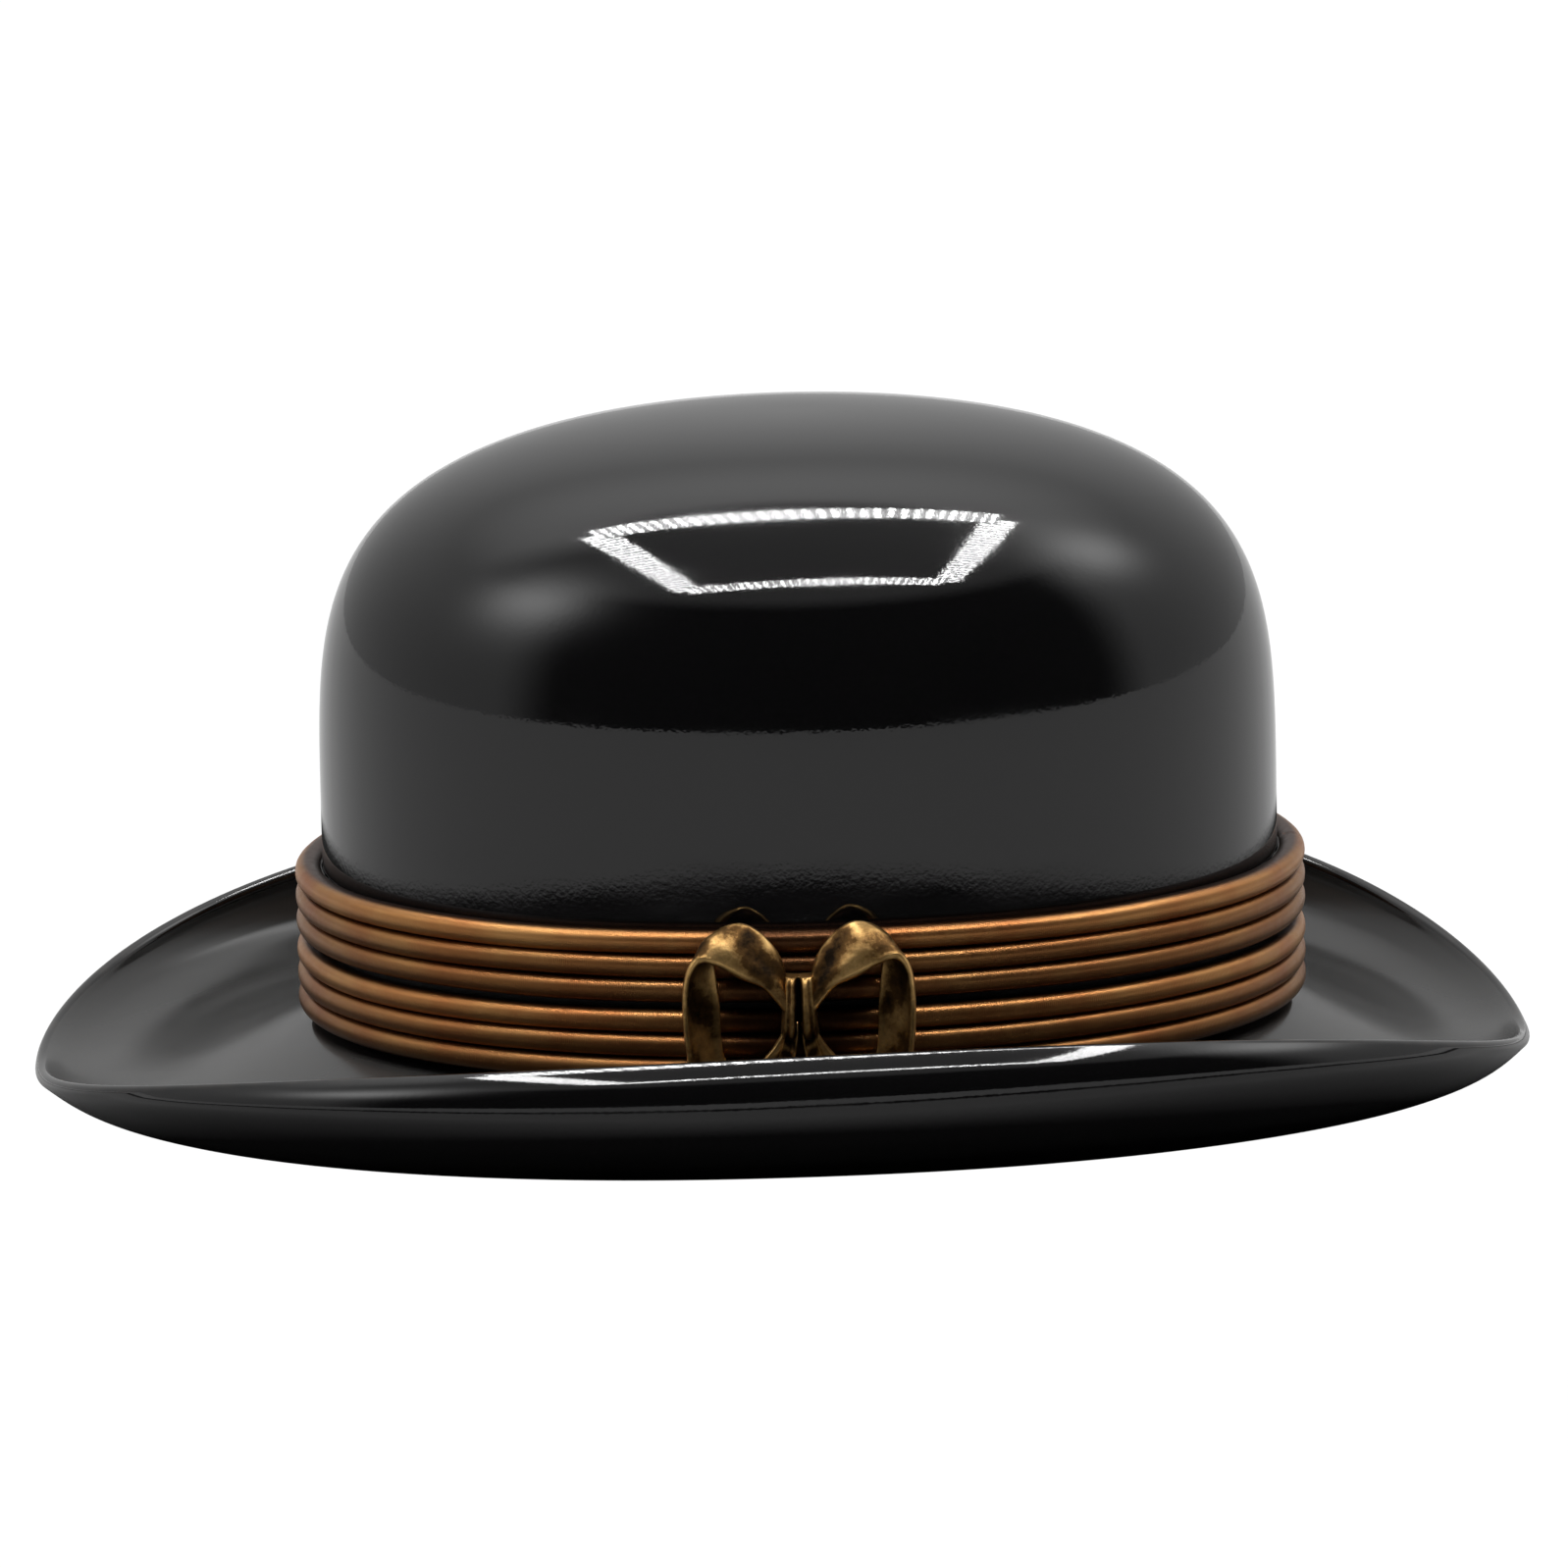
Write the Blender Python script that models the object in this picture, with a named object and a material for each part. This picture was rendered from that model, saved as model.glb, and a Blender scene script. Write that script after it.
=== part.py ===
"""A wearable bowler hat, built from its separate pieces.

A stiff lacquered shell (crown and brim in one), a band of six cords on a backing
tape, a ribbon bow with its knot and tails, and inside it the leather sweatband with
its reed and tapes, and the lining with its tip, piping and patch.

Metres, +Z up. The hat's front faces -X and its bow is on the -Y side, the wearer's
left. The origin is under the middle of the brim, on the plane that the brim stands on.
"""
import math

import bmesh
import bpy
import numpy as np

# Shell: oval of the crown's outer wall, and its dome
CROWN_HALF_LENGTH = 0.1040
CROWN_HALF_WIDTH = 0.0854
CROWN_SETBACK = 0.0047          # the crown stands this far behind the brim's middle
CROWN_THICKNESS = 0.0022
WALL_HEIGHT = 0.0387            # from the break line to where the dome starts
DOME_HEIGHT = 0.0923
DOME_RISE_POWER = 4.19          # higher is flatter on top
DOME_ROUND_POWER = 2.45         # higher is squarer at the shoulder

# Brim: it leaves the break line downwards, turns up, and is curled up at both sides
BREAK_HEIGHT = 0.0157           # break line above the standing plane, at front and rear
BREAK_RISE = 0.0018             # the break line is this much higher at the sides
BRIM_THICKNESS = 0.0032
BRIM_HALF_LENGTH = 0.1631
BRIM_HALF_WIDTH = 0.1318
BRIM_OVAL_POWER = 2.16
BRIM_DROP = 0.0262              # fall that the brim would have by its edge with no turn up
BRIM_TURN_POWER = 4.12          # higher keeps the turn up nearer to the edge
EDGE_HEIGHT_ENDS = -0.0082      # edge relative to the break line, at front and rear
EDGE_CURL = 0.0270              # how much higher the edge is at the sides
EDGE_CURL_POWER = 1.70
EDGE_TILT = -0.0003             # extra height towards the rear
EDGE_REAR_LIFT = 0.0038         # extra height on the rear halves of the two sides
EDGE_QUARTER_LIFT = 0.0023      # extra height half-way between the ends and the sides
CURL_SPREAD = 2.5               # higher keeps the full curl nearer to the two sides
SECTION_STEPS = 121             # points that a brim section is worked out at
SECTION_NUDGE = 0.004           # step along a section that gives its slope
BREAK_ROUNDING = 0.0040         # length of the rounded corner where wall and brim meet

# Band: six cords in two groups of three on a backing tape
CORD_RADIUS = 0.00245
CORD_PITCH = 0.0052
UPPER_CORD_HEIGHT = 0.0317      # top cord's middle above the break line
LOWER_CORD_HEIGHT = 0.0147      # fourth cord's middle above the break line
CORDS_IN_GROUP = 3
CORD_SIDES = 6
TAPE_THICKNESS = 0.0005
TAPE_MARGIN = 0.0012            # the tape stops this far inside the outermost cords
GAP = 0.0003                    # clearance between two touching pieces

# Bow, in the band's own coordinates: along the band, height, and out from the cords
BOW_LEAD = 0.0042               # the knot is this far ahead of the crown's middle
BOW_STANDOFF = 0.0005
RIBBON_THICKNESS = 0.0013
KNOT_HALF_WIDTH = 0.0035
KNOT_BOTTOM = 0.0142
KNOT_TOP = 0.0272
KNOT_DEPTH = 0.0070
KNOT_GROOVE = 0.0016
TAIL_DEPTH = 0.0042

# Inside
SWEATBAND_HEIGHT = 0.0420
SWEATBAND_THICKNESS = 0.0012
SWEATBAND_FOOT_INSET = 0.00115  # outer face from the shell's inner wall, at the bottom
SWEATBAND_HEAD_INSET = 0.0042   # and at the top, where the leather stands off
REED_RADIUS = 0.0010
REED_TAPE_HEIGHT = 0.0090
REED_TAPE_THICKNESS = 0.0004
LINING_INSET = 0.0004
LINING_THICKNESS = 0.0004
LINING_FOOT = 0.0105            # lower edge above the break line, behind the sweatband
SIDE_RISES = (0.0, 0.25, 0.45, 0.62, 0.76, 0.85, 0.89)  # rings inside the dome, by height
TIP_WIDTHS = (0.64, 0.50, 0.36, 0.22, 0.10)             # and over its tip, by share of width
PATCH_RING = 2                                          # the tip's patch starts at this width
PIPING_RADIUS = 0.0009
TICKET_SIZE = (0.020, 0.012)
TICKET_THICKNESS = 0.0003
SEAM_TAB_SIZE = (0.008, 0.022)
SEAM_TAB_THICKNESS = 0.0005
TIE_HALF_WIDTH = 0.0100
TIE_HALF_HEIGHT = 0.0042
TIE_THICKNESS = 0.0012

SEGMENTS = 48
AROUND = np.linspace(0.0, 2.0 * math.pi, SEGMENTS, endpoint=False)
BAND_STANDOFF = GAP + TAPE_THICKNESS + GAP
CORD_OFFSET = BAND_STANDOFF + CORD_RADIUS
BAND_OFFSET = CORD_OFFSET + CORD_RADIUS

PAINTS = {
    "black_lacquer": ((0.012, 0.012, 0.014), 0.06, 0.0),
    "bronze_cord": ((0.42, 0.23, 0.09), 0.38, 0.85),
    "antique_brass": ((0.40, 0.25, 0.10), 0.35, 1.0),
    "black_tape": ((0.02, 0.02, 0.02), 0.9, 0.0),
    "tan_leather": ((0.30, 0.15, 0.07), 0.5, 0.0),
    "reed_cane": ((0.50, 0.40, 0.25), 0.6, 0.0),
    "cream_satin": ((0.62, 0.56, 0.45), 0.4, 0.0),
    "clear_film": ((0.75, 0.75, 0.75), 0.15, 0.0),
    "ticket_paper": ((0.80, 0.78, 0.70), 0.8, 0.0),
    "black_ribbon": ((0.02, 0.02, 0.025), 0.6, 0.0),
}


def clear_scene():
    for thing in list(bpy.data.objects):
        bpy.data.objects.remove(thing, do_unlink=True)


def paint(slot):
    """The named material, made the first time that it is asked for."""
    material = bpy.data.materials.get(slot)
    if material is None:
        colour, roughness, metallic = PAINTS[slot]
        material = bpy.data.materials.new(slot)
        material.use_nodes = True
        shader = material.node_tree.nodes["Principled BSDF"]
        shader.inputs["Base Color"].default_value = (*colour, 1.0)
        shader.inputs["Roughness"].default_value = roughness
        shader.inputs["Metallic"].default_value = metallic
    return material


def loft(name, slot, rings, closed=False):
    """Join rings of points into one solid. Open ends are closed to their middles."""
    mesh = bmesh.new()
    rows = [[mesh.verts.new(point) for point in ring] for ring in rings]
    count = len(rows[0])
    pairs = list(zip(rows, rows[1:]))
    if closed:
        pairs.append((rows[-1], rows[0]))
    for row, following in pairs:
        for i in range(count):
            j = (i + 1) % count
            mesh.faces.new((row[i], row[j], following[j], following[i]))
    if not closed:
        for ring, row in ((rings[0], rows[0]), (rings[-1], rows[-1])):
            middle = mesh.verts.new(np.mean(np.array(ring), axis=0))
            for i in range(count):
                mesh.faces.new((middle, row[i], row[(i + 1) % count]))
    bmesh.ops.recalc_face_normals(mesh, faces=mesh.faces)
    bmesh.ops.triangulate(mesh, faces=mesh.faces)
    data = bpy.data.meshes.new(name)
    mesh.to_mesh(data)
    mesh.free()
    data.shade_smooth()
    data.set_sharp_from_angle(angle=math.radians(35))
    data.materials.append(paint(slot))
    thing = bpy.data.objects.new(name, data)
    bpy.context.scene.collection.objects.link(thing)
    return thing


# ---- The shape that everything follows: the crown's oval and the break line ----

def oval(theta, half_length, half_width, power=2.0):
    """A superellipse around the crown's middle; power 2 is an ellipse."""
    c, s = np.cos(theta), np.sin(theta)
    reach = (np.abs(c) ** power + np.abs(s) ** power) ** (-1.0 / power)
    return half_length * reach * c, half_width * reach * s


def place(x, y, z):
    """Points from the crown's axis and the break line to the part's frame."""
    x, y, z = np.broadcast_arrays(x, y, z)
    return np.stack([x + CROWN_SETBACK, y, z + BREAK_HEIGHT], axis=-1)


def break_line(theta):
    return BREAK_RISE * np.sin(theta) ** 2


def wall_ring(theta, offset, height):
    """Around the crown, at an offset out from its outer wall, above the break line."""
    x, y = oval(theta, CROWN_HALF_LENGTH + offset, CROWN_HALF_WIDTH + offset)
    return place(x, y, break_line(theta) + height)


def dome_width(rise):
    """Share of the wall's oval that is left at this share of the dome's height."""
    return (1.0 - rise ** DOME_RISE_POWER) ** (1.0 / DOME_ROUND_POWER)


def dome_rise(width):
    return (1.0 - width ** DOME_ROUND_POWER) ** (1.0 / DOME_RISE_POWER)


def dome_ring(theta, rise, inset):
    width = dome_width(rise)
    x, y = oval(theta, (CROWN_HALF_LENGTH - inset) * width, (CROWN_HALF_WIDTH - inset) * width)
    return place(x, y, WALL_HEIGHT + (DOME_HEIGHT - inset) * rise)


def dome_steps(count, narrowest=0.12):
    """Rises spaced evenly along the outside of the dome, from the wall towards the top."""
    top = dome_rise(np.linspace(dome_width(0.8), narrowest, 90))
    rise = np.concatenate([np.linspace(0.0, 0.8, 60), top])
    x = CROWN_HALF_LENGTH * dome_width(rise)
    along = np.concatenate([[0.0], np.cumsum(np.hypot(np.diff(x), np.diff(DOME_HEIGHT * rise)))])
    return np.interp(np.linspace(0.0, along[-1], count), along, rise)


# ---- Shell ----

def smooth_path(points, count):
    """Evenly spaced points on a smooth curve through the given ones."""
    points = np.array(points, float)
    padded = np.vstack([2 * points[0] - points[1], points, 2 * points[-1] - points[-2]])
    curve = []
    for a, b, c, d in zip(padded, padded[1:], padded[2:], padded[3:]):
        for t in np.linspace(0.0, 1.0, 12, endpoint=False):
            curve.append(0.5 * (2 * b + (c - a) * t + (2 * a - 5 * b + 4 * c - d) * t ** 2
                                + (3 * b - a - 3 * c + d) * t ** 3))
    curve = np.array(curve + [points[-1]])
    along = np.concatenate([[0.0], np.cumsum(np.linalg.norm(np.diff(curve[:, :3], axis=0), axis=1))])
    steps = np.linspace(0.0, along[-1], count)
    return np.stack([np.interp(steps, along, column) for column in curve.T], axis=1)


# The brim's section where it curls most, at its two sides: the share of the way out, then
# the share of the turn up, from the break line through the upright curl to the rolled edge.
CURL_PATH = ((0.0, 0.0), (0.30, 0.014), (0.60, 0.12), (0.82, 0.303), (1.00, 0.505), (1.080, 0.640),
             (1.100, 0.743), (1.104, 0.842), (1.101, 0.913), (1.088, 0.966), (1.058, 0.996), (1.0, 1.0))


def brim_sections():
    """Even steps along the plain section, of the front and rear, and the curled one."""
    way = np.linspace(0.0, 1.0, 15)
    plain = np.column_stack([way, way ** BRIM_TURN_POWER])
    return smooth_path(plain, SECTION_STEPS), smooth_path(CURL_PATH, SECTION_STEPS)


def brim_point(theta, share):
    """Middle of the brim's thickness at a share of its section, and the way outwards."""
    start_x, start_y = oval(theta, CROWN_HALF_LENGTH, CROWN_HALF_WIDTH)
    edge = BRIM_THICKNESS / 2
    end_x, end_y = oval(theta, BRIM_HALF_LENGTH - edge, BRIM_HALF_WIDTH - edge, BRIM_OVAL_POWER)
    end_x = end_x - CROWN_SETBACK
    side = np.abs(np.sin(theta))
    end_z = EDGE_HEIGHT_ENDS - edge + EDGE_CURL * side ** EDGE_CURL_POWER
    end_z = end_z + np.cos(theta) * (EDGE_TILT + EDGE_REAR_LIFT * side ** 2)
    end_z = end_z + EDGE_QUARTER_LIFT * np.sin(2 * theta) ** 2
    start_z = break_line(theta)
    steps = np.linspace(0.0, 1.0, SECTION_STEPS)
    plain, curled = [[np.interp(share, steps, column) for column in section.T] for section in SECTIONS]
    curl = side ** CURL_SPREAD
    way = plain[0] + (curled[0] - plain[0]) * curl
    rise = plain[1] + (curled[1] - plain[1]) * curl
    height = start_z - BRIM_DROP * way + (end_z - start_z + BRIM_DROP) * rise
    out = np.stack([end_x - start_x, end_y - start_y], axis=-1)
    middle = np.stack([start_x + out[:, 0] * way, start_y + out[:, 1] * way, height], axis=-1)
    return middle, out / np.linalg.norm(out, axis=-1)[:, None]


def brim_ring(theta, share, turn=math.pi / 2):
    """Brim surface: turn is 90 degrees on top, 0 at the edge, -90 degrees underneath."""
    middle, out = brim_point(theta, share)
    before, after = [brim_point(theta, share + shift)[0] for shift in (-SECTION_NUDGE, SECTION_NUDGE)]
    ahead = np.sum((after - before)[:, :2] * out, axis=1)
    angle = np.arctan2(after[:, 2] - before[:, 2], ahead) + turn
    reach = BRIM_THICKNESS / 2 * np.cos(angle)
    lift = BRIM_THICKNESS / 2 * np.sin(angle)
    ring = place(middle[:, 0] + out[:, 0] * reach, middle[:, 1] + out[:, 1] * reach, middle[:, 2] + lift)
    ring[:, 2] = np.maximum(ring[:, 2], 0.0)
    return ring


SECTIONS = brim_sections()


def corner_rings(wall, corner, brim, count):
    """A rounded corner: rings along a curve from the wall to the brim."""
    steps = np.linspace(0.0, 1.0, count + 2)[1:-1]
    return [(1 - t) ** 2 * wall + 2 * t * (1 - t) * corner + t * t * brim for t in steps]


def make_shell():
    theta = AROUND
    near = 0.045
    rest = (0.10, 0.18, 0.27, 0.36, 0.455, 0.50, 0.58, 0.66, 0.74, 0.82, 0.88, 0.93, 0.97, 1.0)
    rises = dome_steps(12)[::-1]
    outside = [dome_ring(theta, rise, 0.0) for rise in rises]
    top_start = brim_ring(theta, near)
    top_corner = wall_ring(theta, 0.0, 0.0)
    top_corner[:, 2] = 2 * top_start[:, 2] - brim_ring(theta, 2 * near)[:, 2]
    foot = top_corner + np.array([0.0, 0.0, BREAK_ROUNDING])
    outside += [foot] + corner_rings(foot, top_corner, top_start, 2) + [top_start]
    outside += [brim_ring(theta, share) for share in rest]
    lip = [brim_ring(theta, 1.0, turn) for turn in np.radians((50, 17, -17, -50))]
    under_start = brim_ring(theta, near, -math.pi / 2)
    under_corner = wall_ring(theta, -CROWN_THICKNESS, 0.0)
    step = brim_ring(theta, 2 * near, -math.pi / 2) - under_start
    run = CROWN_THICKNESS / np.hypot(step[:, 0], step[:, 1]) + 1.0
    under_corner[:, 2] = under_start[:, 2] - run * step[:, 2]
    inner_foot = under_corner + np.array([0.0, 0.0, BREAK_ROUNDING])
    inside = [brim_ring(theta, share, -math.pi / 2) for share in rest[::-1]]
    inside += [under_start] + corner_rings(inner_foot, under_corner, under_start, 2)[::-1]
    inside += [inner_foot]
    inside += [dome_ring(theta, rise, CROWN_THICKNESS) for rise in SIDE_RISES]
    inside += [dome_ring(theta, dome_rise(width), CROWN_THICKNESS) for width in TIP_WIDTHS]
    loft("hat_shell", "black_lacquer", outside + lip + inside)


# ---- Band ----

def make_band():
    for group, top in (("upper", UPPER_CORD_HEIGHT), ("lower", LOWER_CORD_HEIGHT)):
        for i in range(CORDS_IN_GROUP):
            height = top - i * CORD_PITCH
            sweep(f"{group}_cord_{i + 1}", "bronze_cord", circle(CORD_OFFSET, height, CORD_RADIUS))
    bottom = LOWER_CORD_HEIGHT - (CORDS_IN_GROUP - 1) * CORD_PITCH
    low = max(bottom - CORD_RADIUS + TAPE_MARGIN, BREAK_ROUNDING + GAP)
    high = UPPER_CORD_HEIGHT + CORD_RADIUS - TAPE_MARGIN
    sweep("band_backing_tape", "black_tape", wall_strip(GAP, TAPE_THICKNESS, low, high))


def circle(offset, height, radius):
    """A round section, as offsets and heights."""
    turns = np.linspace(0.0, 2 * math.pi, CORD_SIDES, endpoint=False) + math.pi / CORD_SIDES
    return [(offset + radius * math.cos(turn), height + radius * math.sin(turn)) for turn in turns]


def wall_strip(offset, thickness, low, high):
    """Four corners of an upright strip, as offsets and heights."""
    return [(offset, low), (offset + thickness, low), (offset + thickness, high), (offset, high)]


def sweep(name, slot, corners):
    """A closed strip or cord that runs all round the crown."""
    rings = [wall_ring(AROUND, offset, height) for offset, height in corners]
    loft(name, slot, np.stack(rings, axis=1), closed=True)


# ---- Bow ----

def band_point(along, height, out):
    """A point by the bow: along the band from the knot, height, and out from the cords."""
    half_length = CROWN_HALF_LENGTH + BAND_OFFSET
    half_width = CROWN_HALF_WIDTH + BAND_OFFSET
    x = along - BOW_LEAD
    y = -half_width * np.sqrt(1.0 - (x / half_length) ** 2)
    normal = np.array([x / half_length ** 2, y / half_width ** 2])
    normal = normal / np.linalg.norm(normal)
    reach = BOW_STANDOFF + out
    return place(x + normal[0] * reach, y + normal[1] * reach, height)


def ribbon(name, slot, path, crease=0.0):
    """A flat ribbon. Each path row is one edge's point, then the way across to the other."""
    edge, across = path[:, :3], path[:, 3:]
    along = np.gradient(edge + across / 2, axis=0)
    normal = np.cross(along, across)
    normal = normal / np.linalg.norm(normal, axis=1)[:, None]
    rings = []
    for point, way, up in zip(edge, across, normal * RIBBON_THICKNESS / 2):
        fold = up * crease / (RIBBON_THICKNESS / 2)
        middle = point + way / 2 + fold
        ring = (point + up, middle + up, point + way + up, point + way - up, middle - up, point - up)
        rings.append([band_point(*corner) for corner in ring])
    loft(name, slot, rings)


# One edge of a loop against the cords (along, height, out), then the way across it to
# the free edge. The loop leaves the knot at the top and comes back to it at the bottom.
# Its ribbon leans outwards, and falls away from the knot.
LOOP_PATH = (
    (0.0048, 0.0252, 0.0014, 0.0012, -0.0030, 0.0038),
    (0.0050, 0.0312, 0.0012, 0.0028, -0.0056, 0.0052),
    (0.0078, 0.0362, 0.0010, 0.0036, -0.0084, 0.0062),
    (0.0121, 0.0384, 0.0010, 0.0036, -0.0080, 0.0066),
    (0.0160, 0.0364, 0.0010, 0.0036, -0.0050, 0.0068),
    (0.0175, 0.0316, 0.0010, 0.0042, -0.0028, 0.0070),
    (0.0171, 0.0260, 0.0010, 0.0055, -0.0022, 0.0070),
    (0.0165, 0.0202, 0.0010, 0.0062, -0.0018, 0.0070),
    (0.0164, 0.0145, 0.0010, 0.0058, -0.0018, 0.0070),
    (0.0156, 0.0092, 0.0010, 0.0054, -0.0018, 0.0068),
    (0.0122, 0.0068, 0.0010, 0.0038, -0.0020, 0.0062),
    (0.0086, 0.0078, 0.0010, 0.0024, -0.0018, 0.0050),
    (0.0054, 0.0116, 0.0010, 0.0010, -0.0008, 0.0036),
)
# A tail hangs from the knot, leaning away from its twin.
TAIL_PATH = (
    (0.0005, 0.0136, 0.0046, 0.0026, 0.0000, -0.0008),
    (0.0012, 0.0094, 0.0040, 0.0032, 0.0002, -0.0010),
    (0.0026, 0.0040, 0.0028, 0.0038, 0.0008, -0.0012),
)


def knot_ring(height, depth):
    """The knot's outline at one height, with its groove down the front."""
    half = KNOT_HALF_WIDTH
    outline = ((-half, 0.0), (-half, depth * 0.6), (-half * 0.6, depth), (0.0, depth - KNOT_GROOVE),
               (half * 0.6, depth), (half, depth * 0.6), (half, 0.0))
    return [band_point(along, height, out) for along, out in outline]


def make_bow():
    for side, where in ((-1, "front"), (1, "rear")):
        mirror = np.array([side, 1, 1, side, 1, 1])
        ribbon(f"bow_loop_{where}", "antique_brass", smooth_path(LOOP_PATH, 32) * mirror)
        ribbon(f"bow_tail_{where}", "antique_brass", smooth_path(TAIL_PATH, 6) * mirror, 0.0005)
    turns = np.linspace(0.0, math.pi, 9)
    middle, half = (KNOT_TOP + KNOT_BOTTOM) / 2, (KNOT_TOP - KNOT_BOTTOM) / 2
    rings = [knot_ring(middle - half * math.cos(turn), KNOT_DEPTH * (0.55 + 0.45 * math.sin(turn)))
             for turn in turns]
    loft("bow_knot", "antique_brass", rings)


# ---- Inside ----

def sweatband_inset(height):
    """The sweatband's outer face, in from the crown's outer wall, at a height."""
    lean = (SWEATBAND_HEAD_INSET - SWEATBAND_FOOT_INSET) * height / SWEATBAND_HEIGHT
    return CROWN_THICKNESS + SWEATBAND_FOOT_INSET + lean


def leaning_strip(low, high, clear, thickness):
    """Corners of a strip that runs beside the sweatband; clear is towards the shell."""
    corners = []
    for height, deeper in ((low, 0.0), (low, thickness), (high, thickness), (high, 0.0)):
        corners.append((-(sweatband_inset(height) - clear + deeper), height))
    return corners


def patch(name, slot, middle, width, corners):
    """A short length of strip, centred on an angle around the crown."""
    half = width / 2 / CROWN_HALF_WIDTH
    theta = middle + np.linspace(-half, half, 5)
    rings = [wall_ring(theta, offset, height) for offset, height in corners]
    loft(name, slot, np.stack(rings, axis=1))


def make_sweatband():
    foot = REED_RADIUS + GAP
    sweep("sweatband", "tan_leather", leaning_strip(foot, SWEATBAND_HEIGHT, 0.0, SWEATBAND_THICKNESS))
    middle = sweatband_inset(0.0) + SWEATBAND_THICKNESS / 2
    sweep("sweatband_reed", "reed_cane", circle(-middle, -GAP, REED_RADIUS))
    inset = CROWN_THICKNESS + GAP + REED_TAPE_THICKNESS
    sweep("reed_tape", "black_tape",
          wall_strip(-inset, REED_TAPE_THICKNESS, BREAK_ROUNDING * 0.4, REED_TAPE_HEIGHT))
    tab_low, tab_high = 0.0165, 0.0165 + SEAM_TAB_SIZE[1]
    patch("sweatband_seam_tab", "tan_leather", 0.0, SEAM_TAB_SIZE[0],
          leaning_strip(tab_low, tab_high, SEAM_TAB_THICKNESS + GAP, SEAM_TAB_THICKNESS))
    ticket_low = 0.024
    patch("size_ticket", "ticket_paper", math.radians(62), TICKET_SIZE[0],
          leaning_strip(ticket_low, ticket_low + TICKET_SIZE[1], TICKET_THICKNESS + GAP, TICKET_THICKNESS))


def make_tie():
    """The small ribbon bow on the sweatband's seam, at the back of the head."""
    height = 0.0130
    face = CROWN_HALF_LENGTH - sweatband_inset(height + TIE_HALF_HEIGHT) - SWEATBAND_THICKNESS
    back = face - 0.0011
    outline = ((-1.0, -1.0), (-0.55, -0.85), (-0.16, -0.36), (0.16, -0.36), (0.55, -0.85), (1.0, -1.0),
               (1.0, 1.0), (0.55, 0.85), (0.16, 0.36), (-0.16, 0.36), (-0.55, 0.85), (-1.0, 1.0))
    rings = [[place(x, across * TIE_HALF_WIDTH, height + up * TIE_HALF_HEIGHT) for across, up in outline]
             for x in (back - TIE_THICKNESS, back)]
    loft("sweatband_tie", "black_ribbon", rings)


def lining_ring(theta, rise, inset):
    return dome_ring(theta, rise, CROWN_THICKNESS + inset)


def make_lining():
    theta = AROUND
    outer, inner = LINING_INSET, LINING_INSET + LINING_THICKNESS
    rises = np.array(SIDE_RISES)
    section = []
    for inset, order in ((outer, rises), (inner, rises[::-1])):
        rings = [lining_ring(theta, rise, inset) for rise in order]
        foot = wall_ring(theta, -(CROWN_THICKNESS + inset), LINING_FOOT)
        section += [foot] + rings if inset == outer else rings + [foot]
    loft("lining_wall", "cream_satin", np.stack(section, axis=1), closed=True)

    def disc(name, slot, first, inset, thickness):
        widths = TIP_WIDTHS[first:-1]
        upper = [lining_ring(theta, dome_rise(width), inset) for width in widths[::-1]]
        lower = [lining_ring(theta, dome_rise(width), inset + thickness) for width in widths]
        loft(name, slot, upper + lower)

    disc("lining_tip", "cream_satin", 0, outer, LINING_THICKNESS)
    disc("lining_tip_patch", "clear_film", PATCH_RING, inner + GAP, LINING_THICKNESS)
    seam = (SIDE_RISES[-1] + dome_rise(TIP_WIDTHS[0])) / 2
    centre = lining_ring(theta, seam, inner + GAP + PIPING_RADIUS)
    out = np.stack([np.cos(theta), np.sin(theta), np.zeros_like(theta)], axis=-1)
    up = np.array([0.0, 0.0, 1.0])
    rings = [centre + across * out + rise * up for across, rise in circle(0.0, 0.0, PIPING_RADIUS)]
    loft("lining_piping", "cream_satin", np.stack(rings, axis=1), closed=True)


def main():
    clear_scene()
    make_shell()
    make_band()
    make_bow()
    make_sweatband()
    make_tie()
    make_lining()


main()
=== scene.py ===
"""The bowler hat's looks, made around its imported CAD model.

Metres, in the part's own frame: +Z up, the hat's front faces -X, its bow is on -Y.
Every shape follows the same crown oval, break line and brim curve as the CAD part.
"""
import math

import bmesh
import bpy
import numpy as np
from mathutils import Matrix, Vector


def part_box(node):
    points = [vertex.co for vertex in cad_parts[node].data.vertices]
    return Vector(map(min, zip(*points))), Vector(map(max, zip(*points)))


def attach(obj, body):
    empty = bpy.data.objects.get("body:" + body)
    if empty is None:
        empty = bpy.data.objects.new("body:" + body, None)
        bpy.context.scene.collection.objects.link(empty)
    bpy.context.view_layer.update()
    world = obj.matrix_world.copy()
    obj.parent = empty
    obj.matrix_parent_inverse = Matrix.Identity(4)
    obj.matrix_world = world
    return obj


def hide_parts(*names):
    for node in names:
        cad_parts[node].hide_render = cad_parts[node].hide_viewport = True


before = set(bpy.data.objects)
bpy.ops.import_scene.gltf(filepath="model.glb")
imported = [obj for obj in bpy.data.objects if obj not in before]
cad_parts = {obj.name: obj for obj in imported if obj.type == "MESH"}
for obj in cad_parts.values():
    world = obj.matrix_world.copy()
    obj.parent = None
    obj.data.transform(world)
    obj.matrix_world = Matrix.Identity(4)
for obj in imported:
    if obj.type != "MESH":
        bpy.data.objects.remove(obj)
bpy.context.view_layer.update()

# ---- Driving sizes, the same as the CAD part's ----

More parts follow.
